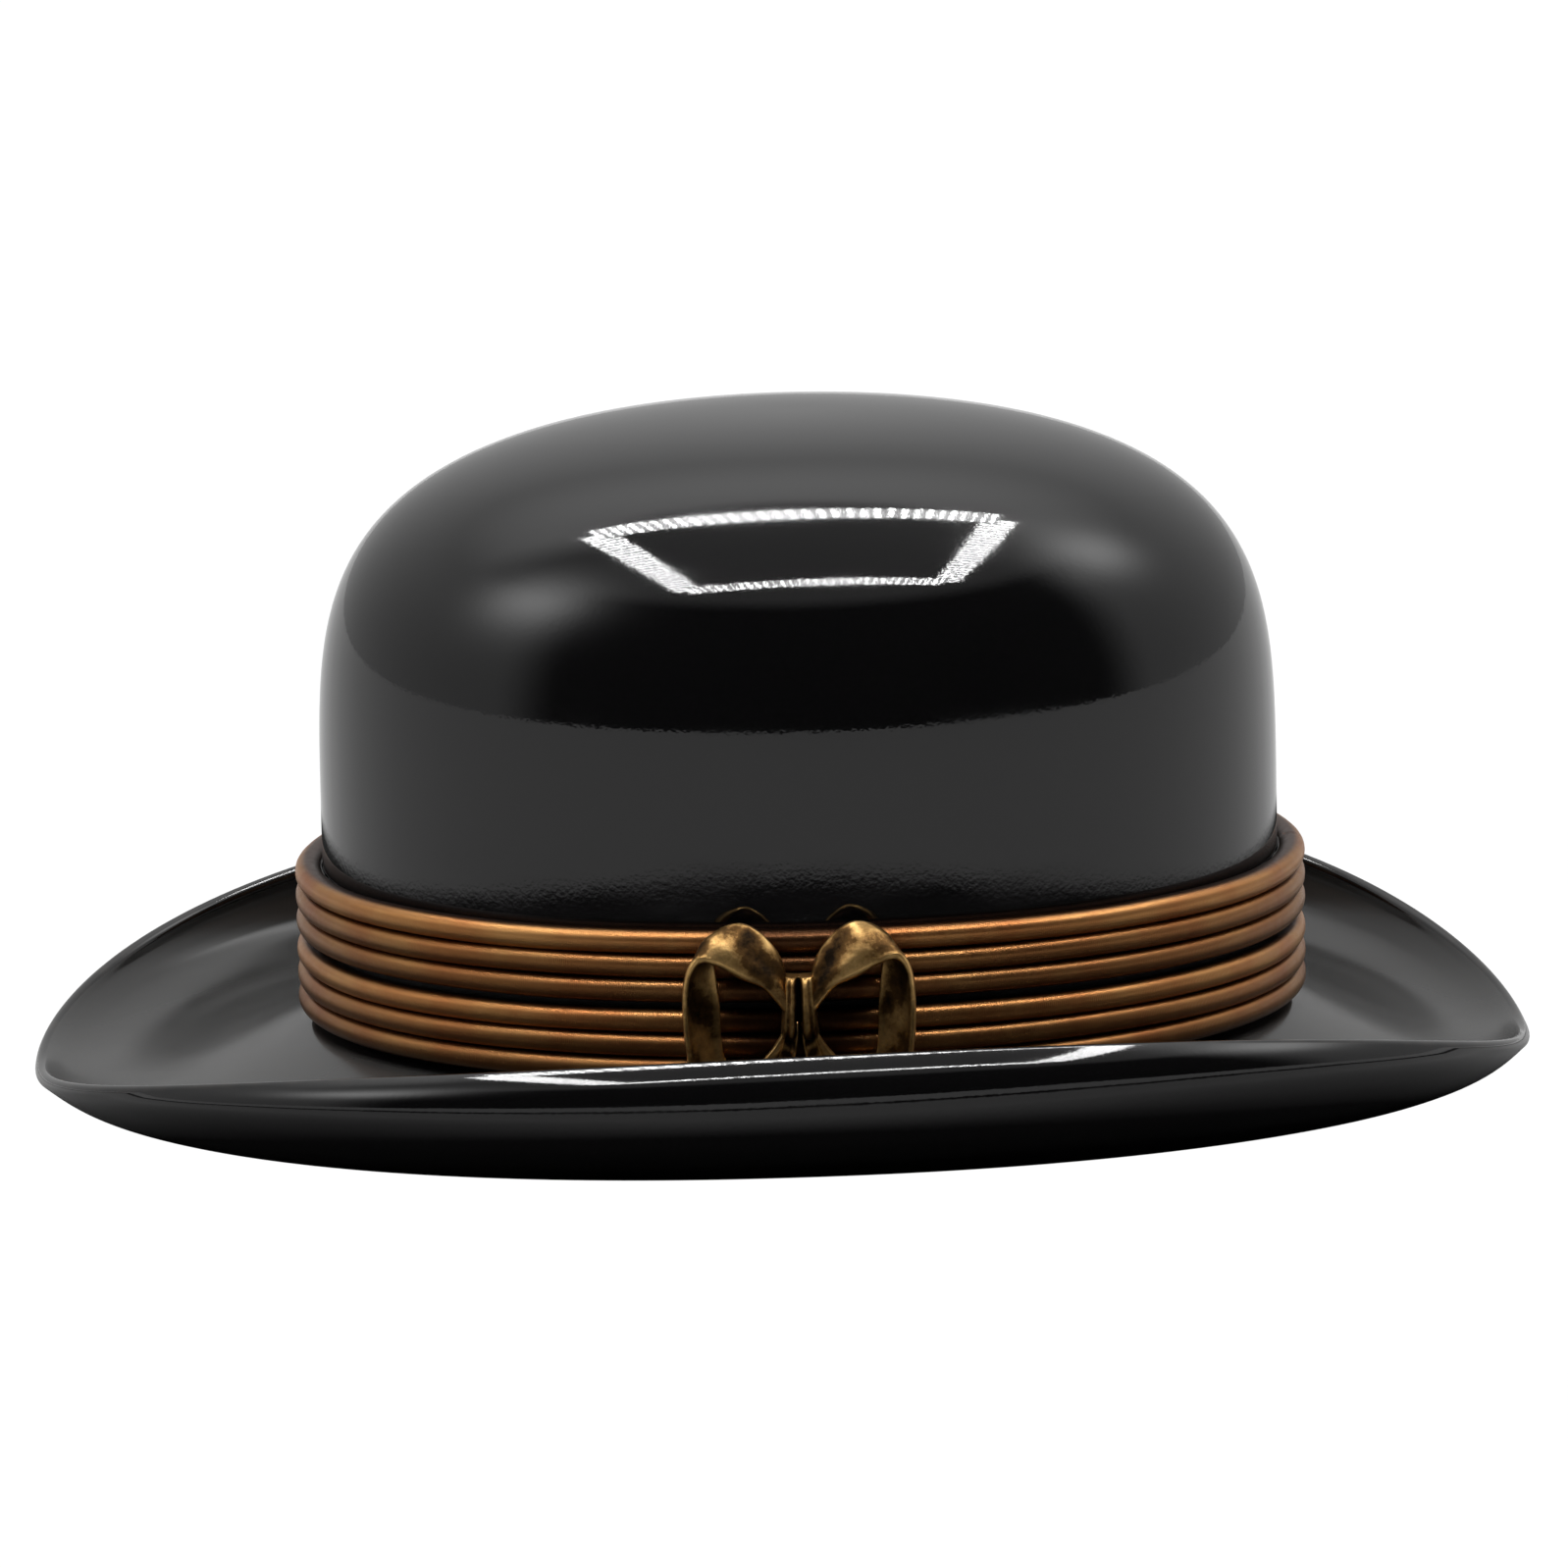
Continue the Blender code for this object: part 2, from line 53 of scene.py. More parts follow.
CROWN_HALF_LENGTH = 0.1040
CROWN_HALF_WIDTH = 0.0854
CROWN_SETBACK = 0.0047
CROWN_THICKNESS = 0.0022
WALL_HEIGHT = 0.0387
DOME_HEIGHT = 0.0923
DOME_RISE_POWER = 4.19
DOME_ROUND_POWER = 2.45
BREAK_HEIGHT = 0.0157
BREAK_RISE = 0.0018
BRIM_THICKNESS = 0.0032
BRIM_HALF_LENGTH = 0.1631
BRIM_HALF_WIDTH = 0.1318
BRIM_OVAL_POWER = 2.16
BRIM_DROP = 0.0262
BRIM_TURN_POWER = 4.12
EDGE_HEIGHT_ENDS = -0.0082
EDGE_CURL = 0.0270
EDGE_CURL_POWER = 1.70
EDGE_TILT = -0.0003
EDGE_REAR_LIFT = 0.0038
EDGE_QUARTER_LIFT = 0.0023
CURL_SPREAD = 2.5
SECTION_STEPS = 121
SECTION_NUDGE = 0.004
BREAK_ROUNDING = 0.0040
GAP = 0.0003
CORD_PITCH = 0.0052
CORD_OFFSET = 0.0031
CORD_RADIUS = 0.00264          # the soft cords press on each other
CORD_REACH = 0.0029
CORD_SQUARE = 2.25             # and their faces are a little flattened
UPPER_CORD_HEIGHT = 0.0317
LOWER_CORD_HEIGHT = 0.0147
CORDS_IN_GROUP = 3
BOW_LEAD = 0.0042
BOW_SHADE_REACH = 0.0175            # painted shade on the cords behind the bow reaches this far each way
SWEATBAND_HEIGHT = 0.0420
SWEATBAND_THICKNESS = 0.0012
SWEATBAND_FOOT_INSET = 0.00115
SWEATBAND_HEAD_INSET = 0.0042
REED_RADIUS = 0.0010
LINING_INSET = 0.0004
LINING_FOOT = 0.0105
SEAM_WIDTH = 0.66              # where the lining's side meets its tip, as a share of the oval

FINE = 240                     # points around the crown
AROUND = np.linspace(0.0, 2.0 * math.pi, FINE, endpoint=False)


# ---- Curves that everything follows ----

def oval(theta, half_length, half_width, power=2.0):
    c, s = np.cos(theta), np.sin(theta)
    reach = (np.abs(c) ** power + np.abs(s) ** power) ** (-1.0 / power)
    return half_length * reach * c, half_width * reach * s


def place(x, y, z):
    x, y, z = np.broadcast_arrays(x, y, z)
    return np.stack([x + CROWN_SETBACK, y, z + BREAK_HEIGHT], axis=-1)


def break_line(theta):
    return BREAK_RISE * np.sin(theta) ** 2


def wall_ring(theta, offset, height):
    x, y = oval(theta, CROWN_HALF_LENGTH + offset, CROWN_HALF_WIDTH + offset)
    return place(x, y, break_line(theta) + height)


def dome_width(rise):
    return (1.0 - rise ** DOME_RISE_POWER) ** (1.0 / DOME_ROUND_POWER)


def dome_rise(width):
    return (1.0 - width ** DOME_ROUND_POWER) ** (1.0 / DOME_RISE_POWER)


def dome_ring(theta, rise, inset):
    width = dome_width(rise)
    x, y = oval(theta, (CROWN_HALF_LENGTH - inset) * width, (CROWN_HALF_WIDTH - inset) * width)
    return place(x, y, WALL_HEIGHT + (DOME_HEIGHT - inset) * rise)


def dome_steps(count, narrowest=0.01):
    """Rises spaced evenly along the outside of the dome, from the wall towards the top."""
    widths = np.linspace(dome_width(0.8), narrowest, 90)
    rise = np.concatenate([np.linspace(0.0, 0.8, 60), dome_rise(widths)])
    x = CROWN_HALF_LENGTH * dome_width(rise)
    along = np.concatenate([[0.0], np.cumsum(np.hypot(np.diff(x), np.diff(DOME_HEIGHT * rise)))])
    return np.interp(np.linspace(0.0, along[-1], count), along, rise)


def smooth_path(points, count):
    """Evenly spaced rows on a smooth curve through the given ones."""
    points = np.array(points, float)
    padded = np.vstack([2 * points[0] - points[1], points, 2 * points[-1] - points[-2]])
    curve = []
    for a, b, c, d in zip(padded, padded[1:], padded[2:], padded[3:]):
        for t in np.linspace(0.0, 1.0, 16, endpoint=False):
            curve.append(0.5 * (2 * b + (c - a) * t + (2 * a - 5 * b + 4 * c - d) * t ** 2
                                + (3 * b - a - 3 * c + d) * t ** 3))
    curve = np.array(curve + [points[-1]])
    along = np.concatenate([[0.0], np.cumsum(np.linalg.norm(np.diff(curve[:, :3], axis=0), axis=1))])
    steps = np.linspace(0.0, along[-1], count)
    return np.stack([np.interp(steps, along, column) for column in curve.T], axis=1)


# The brim's section where it curls most, at its two sides: the share of the way out, then
# the share of the turn up, from the break line through the upright curl to the rolled edge.
CURL_PATH = ((0.0, 0.0), (0.30, 0.014), (0.60, 0.12), (0.82, 0.303), (1.00, 0.505), (1.080, 0.640),
             (1.100, 0.743), (1.104, 0.842), (1.101, 0.913), (1.088, 0.966), (1.058, 0.996), (1.0, 1.0))


def brim_sections():
    """Even steps along the plain section, of the front and rear, and the curled one."""
    way = np.linspace(0.0, 1.0, 15)
    plain = np.column_stack([way, way ** BRIM_TURN_POWER])
    return smooth_path(plain, SECTION_STEPS), smooth_path(CURL_PATH, SECTION_STEPS)


def brim_point(theta, share):
    """Middle of the brim's thickness at a share of its section, and the way outwards."""
    start_x, start_y = oval(theta, CROWN_HALF_LENGTH, CROWN_HALF_WIDTH)
    edge = BRIM_THICKNESS / 2
    end_x, end_y = oval(theta, BRIM_HALF_LENGTH - edge, BRIM_HALF_WIDTH - edge, BRIM_OVAL_POWER)
    end_x = end_x - CROWN_SETBACK
    side = np.abs(np.sin(theta))
    end_z = EDGE_HEIGHT_ENDS - edge + EDGE_CURL * side ** EDGE_CURL_POWER
    end_z = end_z + np.cos(theta) * (EDGE_TILT + EDGE_REAR_LIFT * side ** 2)
    end_z = end_z + EDGE_QUARTER_LIFT * np.sin(2 * theta) ** 2
    start_z = break_line(theta)
    steps = np.linspace(0.0, 1.0, SECTION_STEPS)
    plain, curled = [[np.interp(share, steps, column) for column in section.T] for section in SECTIONS]
    curl = side ** CURL_SPREAD
    way = plain[0] + (curled[0] - plain[0]) * curl
    rise = plain[1] + (curled[1] - plain[1]) * curl
    height = start_z - BRIM_DROP * way + (end_z - start_z + BRIM_DROP) * rise
    out = np.stack([end_x - start_x, end_y - start_y], axis=-1)
    middle = np.stack([start_x + out[:, 0] * way, start_y + out[:, 1] * way, height], axis=-1)
    return middle, out / np.linalg.norm(out, axis=-1)[:, None]


def brim_ring(theta, share, turn=math.pi / 2):
    """Brim surface: turn is 90 degrees on top, 0 at the edge, -90 degrees underneath."""
    middle, out = brim_point(theta, share)
    before, after = [brim_point(theta, share + shift)[0] for shift in (-SECTION_NUDGE, SECTION_NUDGE)]
    ahead = np.sum((after - before)[:, :2] * out, axis=1)
    angle = np.arctan2(after[:, 2] - before[:, 2], ahead) + turn
    reach = BRIM_THICKNESS / 2 * np.cos(angle)
    lift = BRIM_THICKNESS / 2 * np.sin(angle)
    ring = place(middle[:, 0] + out[:, 0] * reach, middle[:, 1] + out[:, 1] * reach, middle[:, 2] + lift)
    ring[:, 2] = np.maximum(ring[:, 2], 0.0)
    return ring


SECTIONS = brim_sections()


def band_point(along, height, out):
    """Points by the bow: along the band from the knot, height, and out from the cords."""
    half_length = CROWN_HALF_LENGTH + CORD_OFFSET + CORD_REACH
    half_width = CROWN_HALF_WIDTH + CORD_OFFSET + CORD_REACH
    x = along - BOW_LEAD
    y = -half_width * np.sqrt(1.0 - (x / half_length) ** 2)
    normal = np.stack([x / half_length ** 2, y / half_width ** 2], axis=-1)
    normal = normal / np.linalg.norm(normal, axis=-1)[..., None]
    return place(x + normal[..., 0] * out, y + normal[..., 1] * out, height)


# ---- Meshes ----

def skin(name, grid, material, close_rows=False, close_columns=True, ends=False, marks=None):
    """A smooth surface over rows of points, riding on the hat.

    ends closes the first and last row to their middles. marks maps an attribute's name
    to one value for each point of the grid.
    """
    rows, columns = grid.shape[:2]
    points = grid.reshape(-1, 3)
    index = np.arange(rows * columns).reshape(rows, columns)
    if close_rows:
        index = np.vstack([index, index[:1]])
    if close_columns:
        index = np.hstack([index, index[:, :1]])
    quads = np.stack([index[:-1, :-1], index[:-1, 1:], index[1:, 1:], index[1:, :-1]], axis=-1)
    faces = quads.reshape(-1, 4).tolist()
    values = {mark: np.asarray(value, float).reshape(-1) for mark, value in (marks or {}).items()}
    if ends:
        for row in (0, rows - 1):
            middle = len(points)
            points = np.vstack([points, grid[row].mean(axis=0)])
            values = {mark: np.append(value, value[row * columns]) for mark, value in values.items()}
            ring = index[row]
            faces += [[int(a), int(b), middle] for a, b in zip(ring, ring[1:])]
    data = bpy.data.meshes.new(name)
    data.from_pydata(points.tolist(), [], faces)
    for mark, value in values.items():
        data.attributes.new(mark, "FLOAT", "POINT").data.foreach_set("value", value)
    mesh = bmesh.new()
    mesh.from_mesh(data)
    bmesh.ops.recalc_face_normals(mesh, faces=mesh.faces)
    mesh.to_mesh(data)
    mesh.free()
    data.shade_smooth()
    data.materials.append(material)
    thing = bpy.data.objects.new(name, data)
    bpy.context.scene.collection.objects.link(thing)
    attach(thing, "root")
    return thing


def stand_for(thing, material_slot, *nodes):
    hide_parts(*nodes)


# ---- Materials ----

class Shader:
    """A material under construction: a Principled shader and the nodes that drive it."""

    def __init__(self, name, **sockets):
        self.material = bpy.data.materials.new(name)
        self.material.use_nodes = True
        self.tree = self.material.node_tree
        self.principled = self.tree.nodes["Principled BSDF"]
        for socket, value in sockets.items():
            self.principled.inputs[socket.replace("_", " ")].default_value = value
        self.place = self.node("ShaderNodeTexCoord").outputs["Object"]

    def node(self, kind, inputs=None, **settings):
        made = self.tree.nodes.new(kind)
        for setting, value in settings.items():
            setattr(made, setting, value)
        for socket, value in (inputs or {}).items():
            if isinstance(value, bpy.types.NodeSocket):
                self.tree.links.new(value, made.inputs[socket])
            else:
                made.inputs[socket].default_value = value
        return made

    def drive(self, socket, source):
        self.tree.links.new(source, self.principled.inputs[socket])

    def mark(self, name):
        return self.node("ShaderNodeAttribute", attribute_name=name).outputs["Fac"]

    def maths(self, operation, a, b=0.0, clamp=False):
        return self.node("ShaderNodeMath", {0: a, 1: b}, operation=operation, use_clamp=clamp).outputs[0]

    def noise(self, scale, detail=3.0, stretch=None, roughness=0.5):
        place = self.place
        if stretch:
            place = self.node("ShaderNodeMapping", {"Vector": place, "Scale": stretch}).outputs[0]
        return self.node("ShaderNodeTexNoise", {"Vector": place, "Scale": scale, "Detail": detail,
                                                "Roughness": roughness}).outputs["Fac"]

    def cells(self, scale, feature="F1"):
        return self.node("ShaderNodeTexVoronoi", {"Vector": self.place, "Scale": scale},
                         feature=feature).outputs["Distance"]

    def span(self, value, low, high, start=0.0, end=1.0):
        return self.node("ShaderNodeMapRange", {"Value": value, "From Min": low, "From Max": high,
                                                "To Min": start, "To Max": end}).outputs[0]

    def blend(self, amount, first, second):
        mix = self.node("ShaderNodeMix", {"Factor": amount}, data_type="RGBA")
        for socket, colour in ((mix.inputs[6], first), (mix.inputs[7], second)):
            if isinstance(colour, bpy.types.NodeSocket):
                self.tree.links.new(colour, socket)
            else:
                socket.default_value = (*colour, 1.0)
        return mix.outputs[2]

    def bump(self, *layers):
        """Each layer is a height, from 0 to 1, and its depth in metres."""
        normal = None
        for height, depth in layers:
            inputs = {"Height": height, "Distance": depth, "Strength": 1.0}
            if normal is not None:
                inputs["Normal"] = normal
            normal = self.node("ShaderNodeBump", inputs).outputs["Normal"]
        self.drive("Normal", normal)


def black_lacquer():
    """Polished black lacquer: faint swirls, specks of dust, and a rubbed brim edge."""
    s = Shader("black_lacquer_gloss")
    rubbed = s.maths("MULTIPLY", s.mark("edge"), s.span(s.noise(160, 5.0), 0.45, 0.75), clamp=True)
    cloudy = s.noise(22, 4.0)
    dust = s.span(s.cells(420), 0.035, 0.0)
    base = s.blend(cloudy, (0.0028, 0.0028, 0.0033), (0.0060, 0.0058, 0.0060))
    base = s.blend(s.maths("MULTIPLY", dust, 0.35), base, (0.16, 0.16, 0.15))
    base = s.blend(s.mark("dust"), base, (0.050, 0.050, 0.049))
    s.drive("Base Color", s.blend(s.maths("MULTIPLY", rubbed, 0.5), base, (0.045, 0.036, 0.030)))
    smears = s.span(s.noise(38, 6.0, (1.0, 1.0, 3.0)), 0.35, 0.75, 0.035, 0.095)
    dusty = s.maths("MULTIPLY", s.mark("dust"), s.span(s.noise(90, 4.0), 0.2, 0.8, 0.12, 0.18))
    dull = s.maths("ADD", dusty, s.maths("MULTIPLY", rubbed, 0.03))
    s.drive("Roughness", s.maths("ADD", smears, dull))
    s.bump((s.noise(1100, 1.0), 0.000006), (s.noise(260, 3.0), 0.000004), (s.noise(50, 2.0), 0.000022))
    return s.material


def bronze_cord():
    """Bronze thread wound round the cord, gone red-brown, with shade painted into its valleys, behind
    the bow and on the lower cords.
    """
    s = Shader("bronze_cord_wound", Metallic=0.92)
    streaks = s.noise(1.0, 5.0, (45.0, 45.0, 900.0))
    gold = s.blend(streaks, (0.31, 0.128, 0.038), (0.56, 0.300, 0.105))
    worn = s.blend(s.span(s.noise(70, 5.0), 0.35, 0.7), gold, (0.35, 0.130, 0.040))
    # The mark darkens the colour: painted shade in the valleys, on the backs, on the lower cords and
    # behind the bow.
    s.drive("Base Color", s.blend(s.span(s.mark("cord_shade"), 0.05, 0.95), worn, (0.045, 0.016, 0.006)))
    s.drive("Roughness", s.span(s.noise(500, 3.0), 0.3, 0.7, 0.30, 0.38))
    wraps = s.node("ShaderNodeMath", {0: s.mark("wraps")}, operation="SINE").outputs[0]
    s.bump((wraps, 0.000016), (s.noise(1300, 2.0), 0.000010))
    return s.material


def antique_brass():
    """Cast brass: rubbed bright on the edges and high places, patina near black in the recesses, and
    painted shade on inner faces, by the knot and on the knot's lower part and back.
    """
    s = Shader("antique_brass_cast", Metallic=1.0)
    pits = s.noise(620, 4.0)
    patchy = s.noise(190, 5.0, roughness=0.65)
    # The height mark mixes real patina and rubbed wear with painted shade.
    height = s.maths("ADD", s.mark("height"), s.maths("MULTIPLY", s.maths("SUBTRACT", patchy, 0.5), 1.5))
    bright = s.blend(patchy, (0.58, 0.31, 0.095), (0.84, 0.56, 0.225))
    middle = s.blend(s.span(height, 0.38, 0.95), (0.11, 0.056, 0.018), bright)
    s.drive("Base Color", s.blend(s.span(height, 0.05, 0.48), (0.012, 0.008, 0.005), middle))
    s.drive("Roughness", s.span(height, 0.0, 1.0, 0.55, 0.30))
    s.bump((pits, 0.00010), (patchy, 0.00022))
    return s.material


def ribbed_tape(name, colour):
    """Grosgrain: fine upright ribs with a woven grain, and painted shade in the troughs between the
    ribs.
    """
    s = Shader(name, Sheen_Weight=0.35, Roughness=0.82)
    ribs = s.node("ShaderNodeMath", {0: s.mark("ribs")}, operation="SINE").outputs[0]
    tone = s.blend(s.noise(900, 3.0), tuple(0.6 * c for c in colour), colour)
    # painted shade: the troughs between the ribs darkened
    s.drive("Base Color", s.blend(s.span(ribs, -1.0, 0.2), tuple(0.25 * c for c in colour), tone))
    s.bump((ribs, 0.00008), (s.noise(2600, 2.0), 0.00004))
    return s.material


def tan_leather():
    """Roan leather: pebbled grain, darker where it is handled, with a pressed line."""
    s = Shader("tan_leather_grain", Roughness=0.48, Coat_Weight=0.12, Coat_Roughness=0.3)
    grain = s.node("ShaderNodeTexVoronoi", {"Vector": s.place, "Scale": 900.0},
                   feature="DISTANCE_TO_EDGE").outputs["Distance"]
    blotch = s.noise(42, 5.0)
    tone = s.blend(blotch, (0.165, 0.068, 0.026), (0.30, 0.145, 0.062))
    tone = s.blend(s.span(grain, 0.10, 0.0), tone, (0.085, 0.034, 0.014))
    s.drive("Base Color", s.blend(s.span(s.mark("handled"), 0.4, 1.0), tone, (0.075, 0.032, 0.015)))
    s.drive("Roughness", s.span(blotch, 0.3, 0.7, 0.40, 0.58))
    s.bump((s.span(grain, 0.0, 0.18), 0.00009), (s.noise(90, 3.0), 0.00022),
           (s.span(s.mark("pressed"), 0.0, 1.0, 1.0, 0.0), 0.00035))
    return s.material


def cream_satin():
    """Satin: a fine diagonal weave with a soft lengthwise shine."""
    s = Shader("cream_satin_weave", Sheen_Weight=0.45, Roughness=0.36, Specular_IOR_Level=0.62)
    threads = s.noise(1.0, 2.0, (2600.0, 2600.0, 300.0))
    slubs = s.noise(1.0, 4.0, (60.0, 60.0, 900.0))
    tone = s.blend(slubs, (0.50, 0.42, 0.29), (0.66, 0.58, 0.43))
    s.drive("Base Color", s.blend(s.span(threads, 0.55, 0.75, 0.0, 0.4), tone, (0.40, 0.33, 0.22)))
    s.drive("Roughness", s.span(slubs, 0.3, 0.7, 0.30, 0.44))
    s.bump((threads, 0.00003), (s.noise(240, 3.0), 0.00012))
    return s.material


def split_cane():
    s = Shader("split_cane", Roughness=0.5)
    fibres = s.noise(1.0, 4.0, (500.0, 500.0, 2500.0))
    s.drive("Base Color", s.blend(fibres, (0.30, 0.21, 0.10), (0.58, 0.45, 0.25)))
    s.bump((fibres, 0.00008))
    return s.material


def ticket_paper():
    s = Shader("ticket_paper_fibre", Roughness=0.85)
    s.drive("Base Color", s.blend(s.noise(1400, 5.0), (0.62, 0.58, 0.48), (0.82, 0.79, 0.70)))
    s.bump((s.noise(2200, 4.0), 0.00003))
    return s.material


def clear_film():
    """Clear film over the tip, a little scuffed."""
    s = Shader("clear_film_scuffed", Alpha=0.28, Coat_Weight=0.6, Coat_Roughness=0.04)
    scuffs = s.noise(1.0, 5.0, (300.0, 1500.0, 300.0))
    s.drive("Base Color", s.blend(scuffs, (0.62, 0.60, 0.55), (0.85, 0.84, 0.80)))
    s.drive("Roughness", s.span(scuffs, 0.35, 0.75, 0.06, 0.32))
    s.bump((scuffs, 0.00001))
    return s.material


def linen_thread():
    s = Shader("linen_thread", Roughness=0.7, Sheen_Weight=0.2)
    twist = s.noise(3500, 2.0)
    s.drive("Base Color", s.blend(twist, (0.42, 0.34, 0.22), (0.66, 0.57, 0.41)))
    s.bump((twist, 0.00005))
    return s.material


# Distances out from the floor's middle, as the polished hat mirrors it: where the painted shadow under
# the hat ends, where a painted dark ring starts, and where the ring ends
PAINTED_HAT_SHADOW = (0.146, 0.196)
RING_START = (0.264, 0.280)
RING_END = (0.322, 0.342)


def pale_floor():
    """A pale matt floor, nearly even for the camera. The hat mirrors its dark parts: a painted shadow
    under the hat, dimmer painted shade near it, and a painted dark ring.
    """
    s = Shader("pale_floor", Roughness=0.9, Specular_IOR_Level=0.1)
    middle = s.node("ShaderNodeMapping", {"Vector": s.place, "Location": (0.0, 0.030, 0.0),
                                          "Scale": (1.06, 1.0, 1.0)}).outputs[0]
    away = s.node("ShaderNodeVectorMath", {0: middle}, operation="LENGTH").outputs["Value"]
    # painted shadow of the hat under it, dimmer painted shade near it, then a painted dark ring
    close = s.blend(s.span(away, *PAINTED_HAT_SHADOW), (0.03, 0.03, 0.03), (0.66, 0.66, 0.66))
    close = s.blend(s.span(away, *RING_START), close, (0.02, 0.02, 0.02))
    s.drive("Base Color", s.blend(s.span(away, *RING_END), close, (0.86, 0.86, 0.86)))
    bright = s.node("ShaderNodeEmission", {"Strength": 1.06})
    share = s.maths("MULTIPLY", s.node("ShaderNodeLightPath").outputs["Is Camera Ray"], 0.96)
    mixed = s.node("ShaderNodeMixShader", {0: share, 1: s.principled.outputs[0], 2: bright.outputs[0]})
    s.tree.links.new(mixed.outputs[0], s.tree.nodes["Material Output"].inputs["Surface"])
    return s.material


# ---- Shell ----

def make_shell():
    theta = AROUND
    near = 0.035
    shares = np.linspace(near, 1.0, 61)[1:]
    outside = [dome_ring(theta, rise, 0.0) for rise in dome_steps(72)[::-1]]
    top_start = brim_ring(theta, near)
    top_corner = wall_ring(theta, 0.0, 0.0)
    top_corner[:, 2] = 2 * top_start[:, 2] - brim_ring(theta, 2 * near)[:, 2]
    foot = top_corner + np.array([0.0, 0.0, BREAK_ROUNDING])
    outside += [foot + (outside[-1] - foot) * part for part in np.linspace(0.9, 0.1, 6)]
    outside += corner(foot, top_corner, top_start, 7)
    top = len(outside)
    outside += [brim_ring(theta, share) for share in shares]
    lip = [brim_ring(theta, 1.0, turn) for turn in np.radians(np.linspace(78, -78, 13))]
    under_start = brim_ring(theta, near, -math.pi / 2)
    under_corner = wall_ring(theta, -CROWN_THICKNESS, 0.0)
    step = brim_ring(theta, 2 * near, -math.pi / 2) - under_start
    run = CROWN_THICKNESS / np.hypot(step[:, 0], step[:, 1]) + 1.0
    under_corner[:, 2] = under_start[:, 2] - run * step[:, 2]
    inner_foot = under_corner + np.array([0.0, 0.0, BREAK_ROUNDING])
    inside = [brim_ring(theta, share, -math.pi / 2) for share in shares[::-1]]
    inside += corner(inner_foot, under_corner, under_start, 7)[::-1]
    inside += [dome_ring(theta, rise, CROWN_THICKNESS) for rise in dome_steps(24)]
    rings = outside + lip + inside
    edge, dust = np.zeros((len(rings), FINE)), np.zeros((len(rings), FINE))
    start = len(outside)
    for i in range(len(rings)):
        away = max(start - i, i - (start + len(lip) - 1), 0)
        edge[i] = math.exp(-away * 0.9)
        dust[i] = float(top <= i < start)
    marks = {"edge": edge, "dust": dust}
    shell = skin("lacquered_shell", np.array(rings), MATERIALS["lacquer"], ends=True, marks=marks)
    stand_for(shell, "black_lacquer", "hat_shell")


def corner(wall, middle, brim, count):
    """A rounded corner from the wall to the brim, both of them included."""
    steps = np.linspace(0.0, 1.0, count + 2)
    return [(1 - t) ** 2 * wall + 2 * t * (1 - t) * middle + t * t * brim for t in steps]


# ---- Band ----

def around_tube(name, offset, height, reach, rise, material,
                sides=28, wrap=0.00042, square=2.0, dull=0.0):
    """A cord all round the crown, reach deep and rise high to its middle.

    square above 2 flattens its faces. Its wraps slant across it; dull paints shade over all of it.
    """
    girth = 2 * math.pi * math.sqrt((CROWN_HALF_LENGTH ** 2 + CROWN_HALF_WIDTH ** 2) / 2)
    count = round(girth / wrap / 40) * 40
    wobble = 0.00006 * (np.sin(5 * AROUND + 700 * height) + 0.6 * np.sin(11 * AROUND + 1900 * height))
    x, y = oval(AROUND, CROWN_HALF_LENGTH, CROWN_HALF_WIDTH)
    # painted shade on the cords behind the bow, fading out each way
    bow_shade = np.where(y < 0, 0.88 * np.exp(-((x + BOW_LEAD) / BOW_SHADE_REACH) ** 6), 0.0)
    rings, cord_shade, wraps = [], [], []
    for turn in np.linspace(0.0, 2 * math.pi, sides, endpoint=False):
        c, s = oval(np.array(turn), 1.0, 1.0, square)
        rings.append(wall_ring(AROUND, offset + reach * float(c), height + wobble + rise * float(s)))
        # painted shade where the cords press together, and over the whole back against the hat
        valley_shade = abs(float(s)) ** 7 if c > 0 else 1.0
        # dull is painted shade over a whole cord, more on its lower side
        cord_shade.append(np.maximum(bow_shade, max(valley_shade, dull * (0.55 - 0.25 * float(s)))))
        wraps.append(AROUND * count + turn)
    marks = {"cord_shade": cord_shade, "wraps": wraps}
    return skin(name, np.stack(rings, axis=0), material, close_rows=True, marks=marks)


def make_band():
    for group, top in (("upper", UPPER_CORD_HEIGHT), ("lower", LOWER_CORD_HEIGHT)):
        for i in range(CORDS_IN_GROUP):
            name = f"{group}_cord_{i + 1}"
            # each lower cord of a group gets more painted shade
            cord = around_tube(f"{name}_wound", CORD_OFFSET, top - i * CORD_PITCH, CORD_REACH,
                               CORD_RADIUS, MATERIALS["cord"], square=CORD_SQUARE,
                               dull=min(0.72 * i, 0.9))
            stand_for(cord, "bronze_cord", name)
    lay(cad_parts["band_backing_tape"], MATERIALS["tape"])


def lay(node, material):
    """Give a CAD node whose shape is right its finished material."""
    node.data.materials.clear()
    node.data.materials.append(material)


# ---- Bow ----

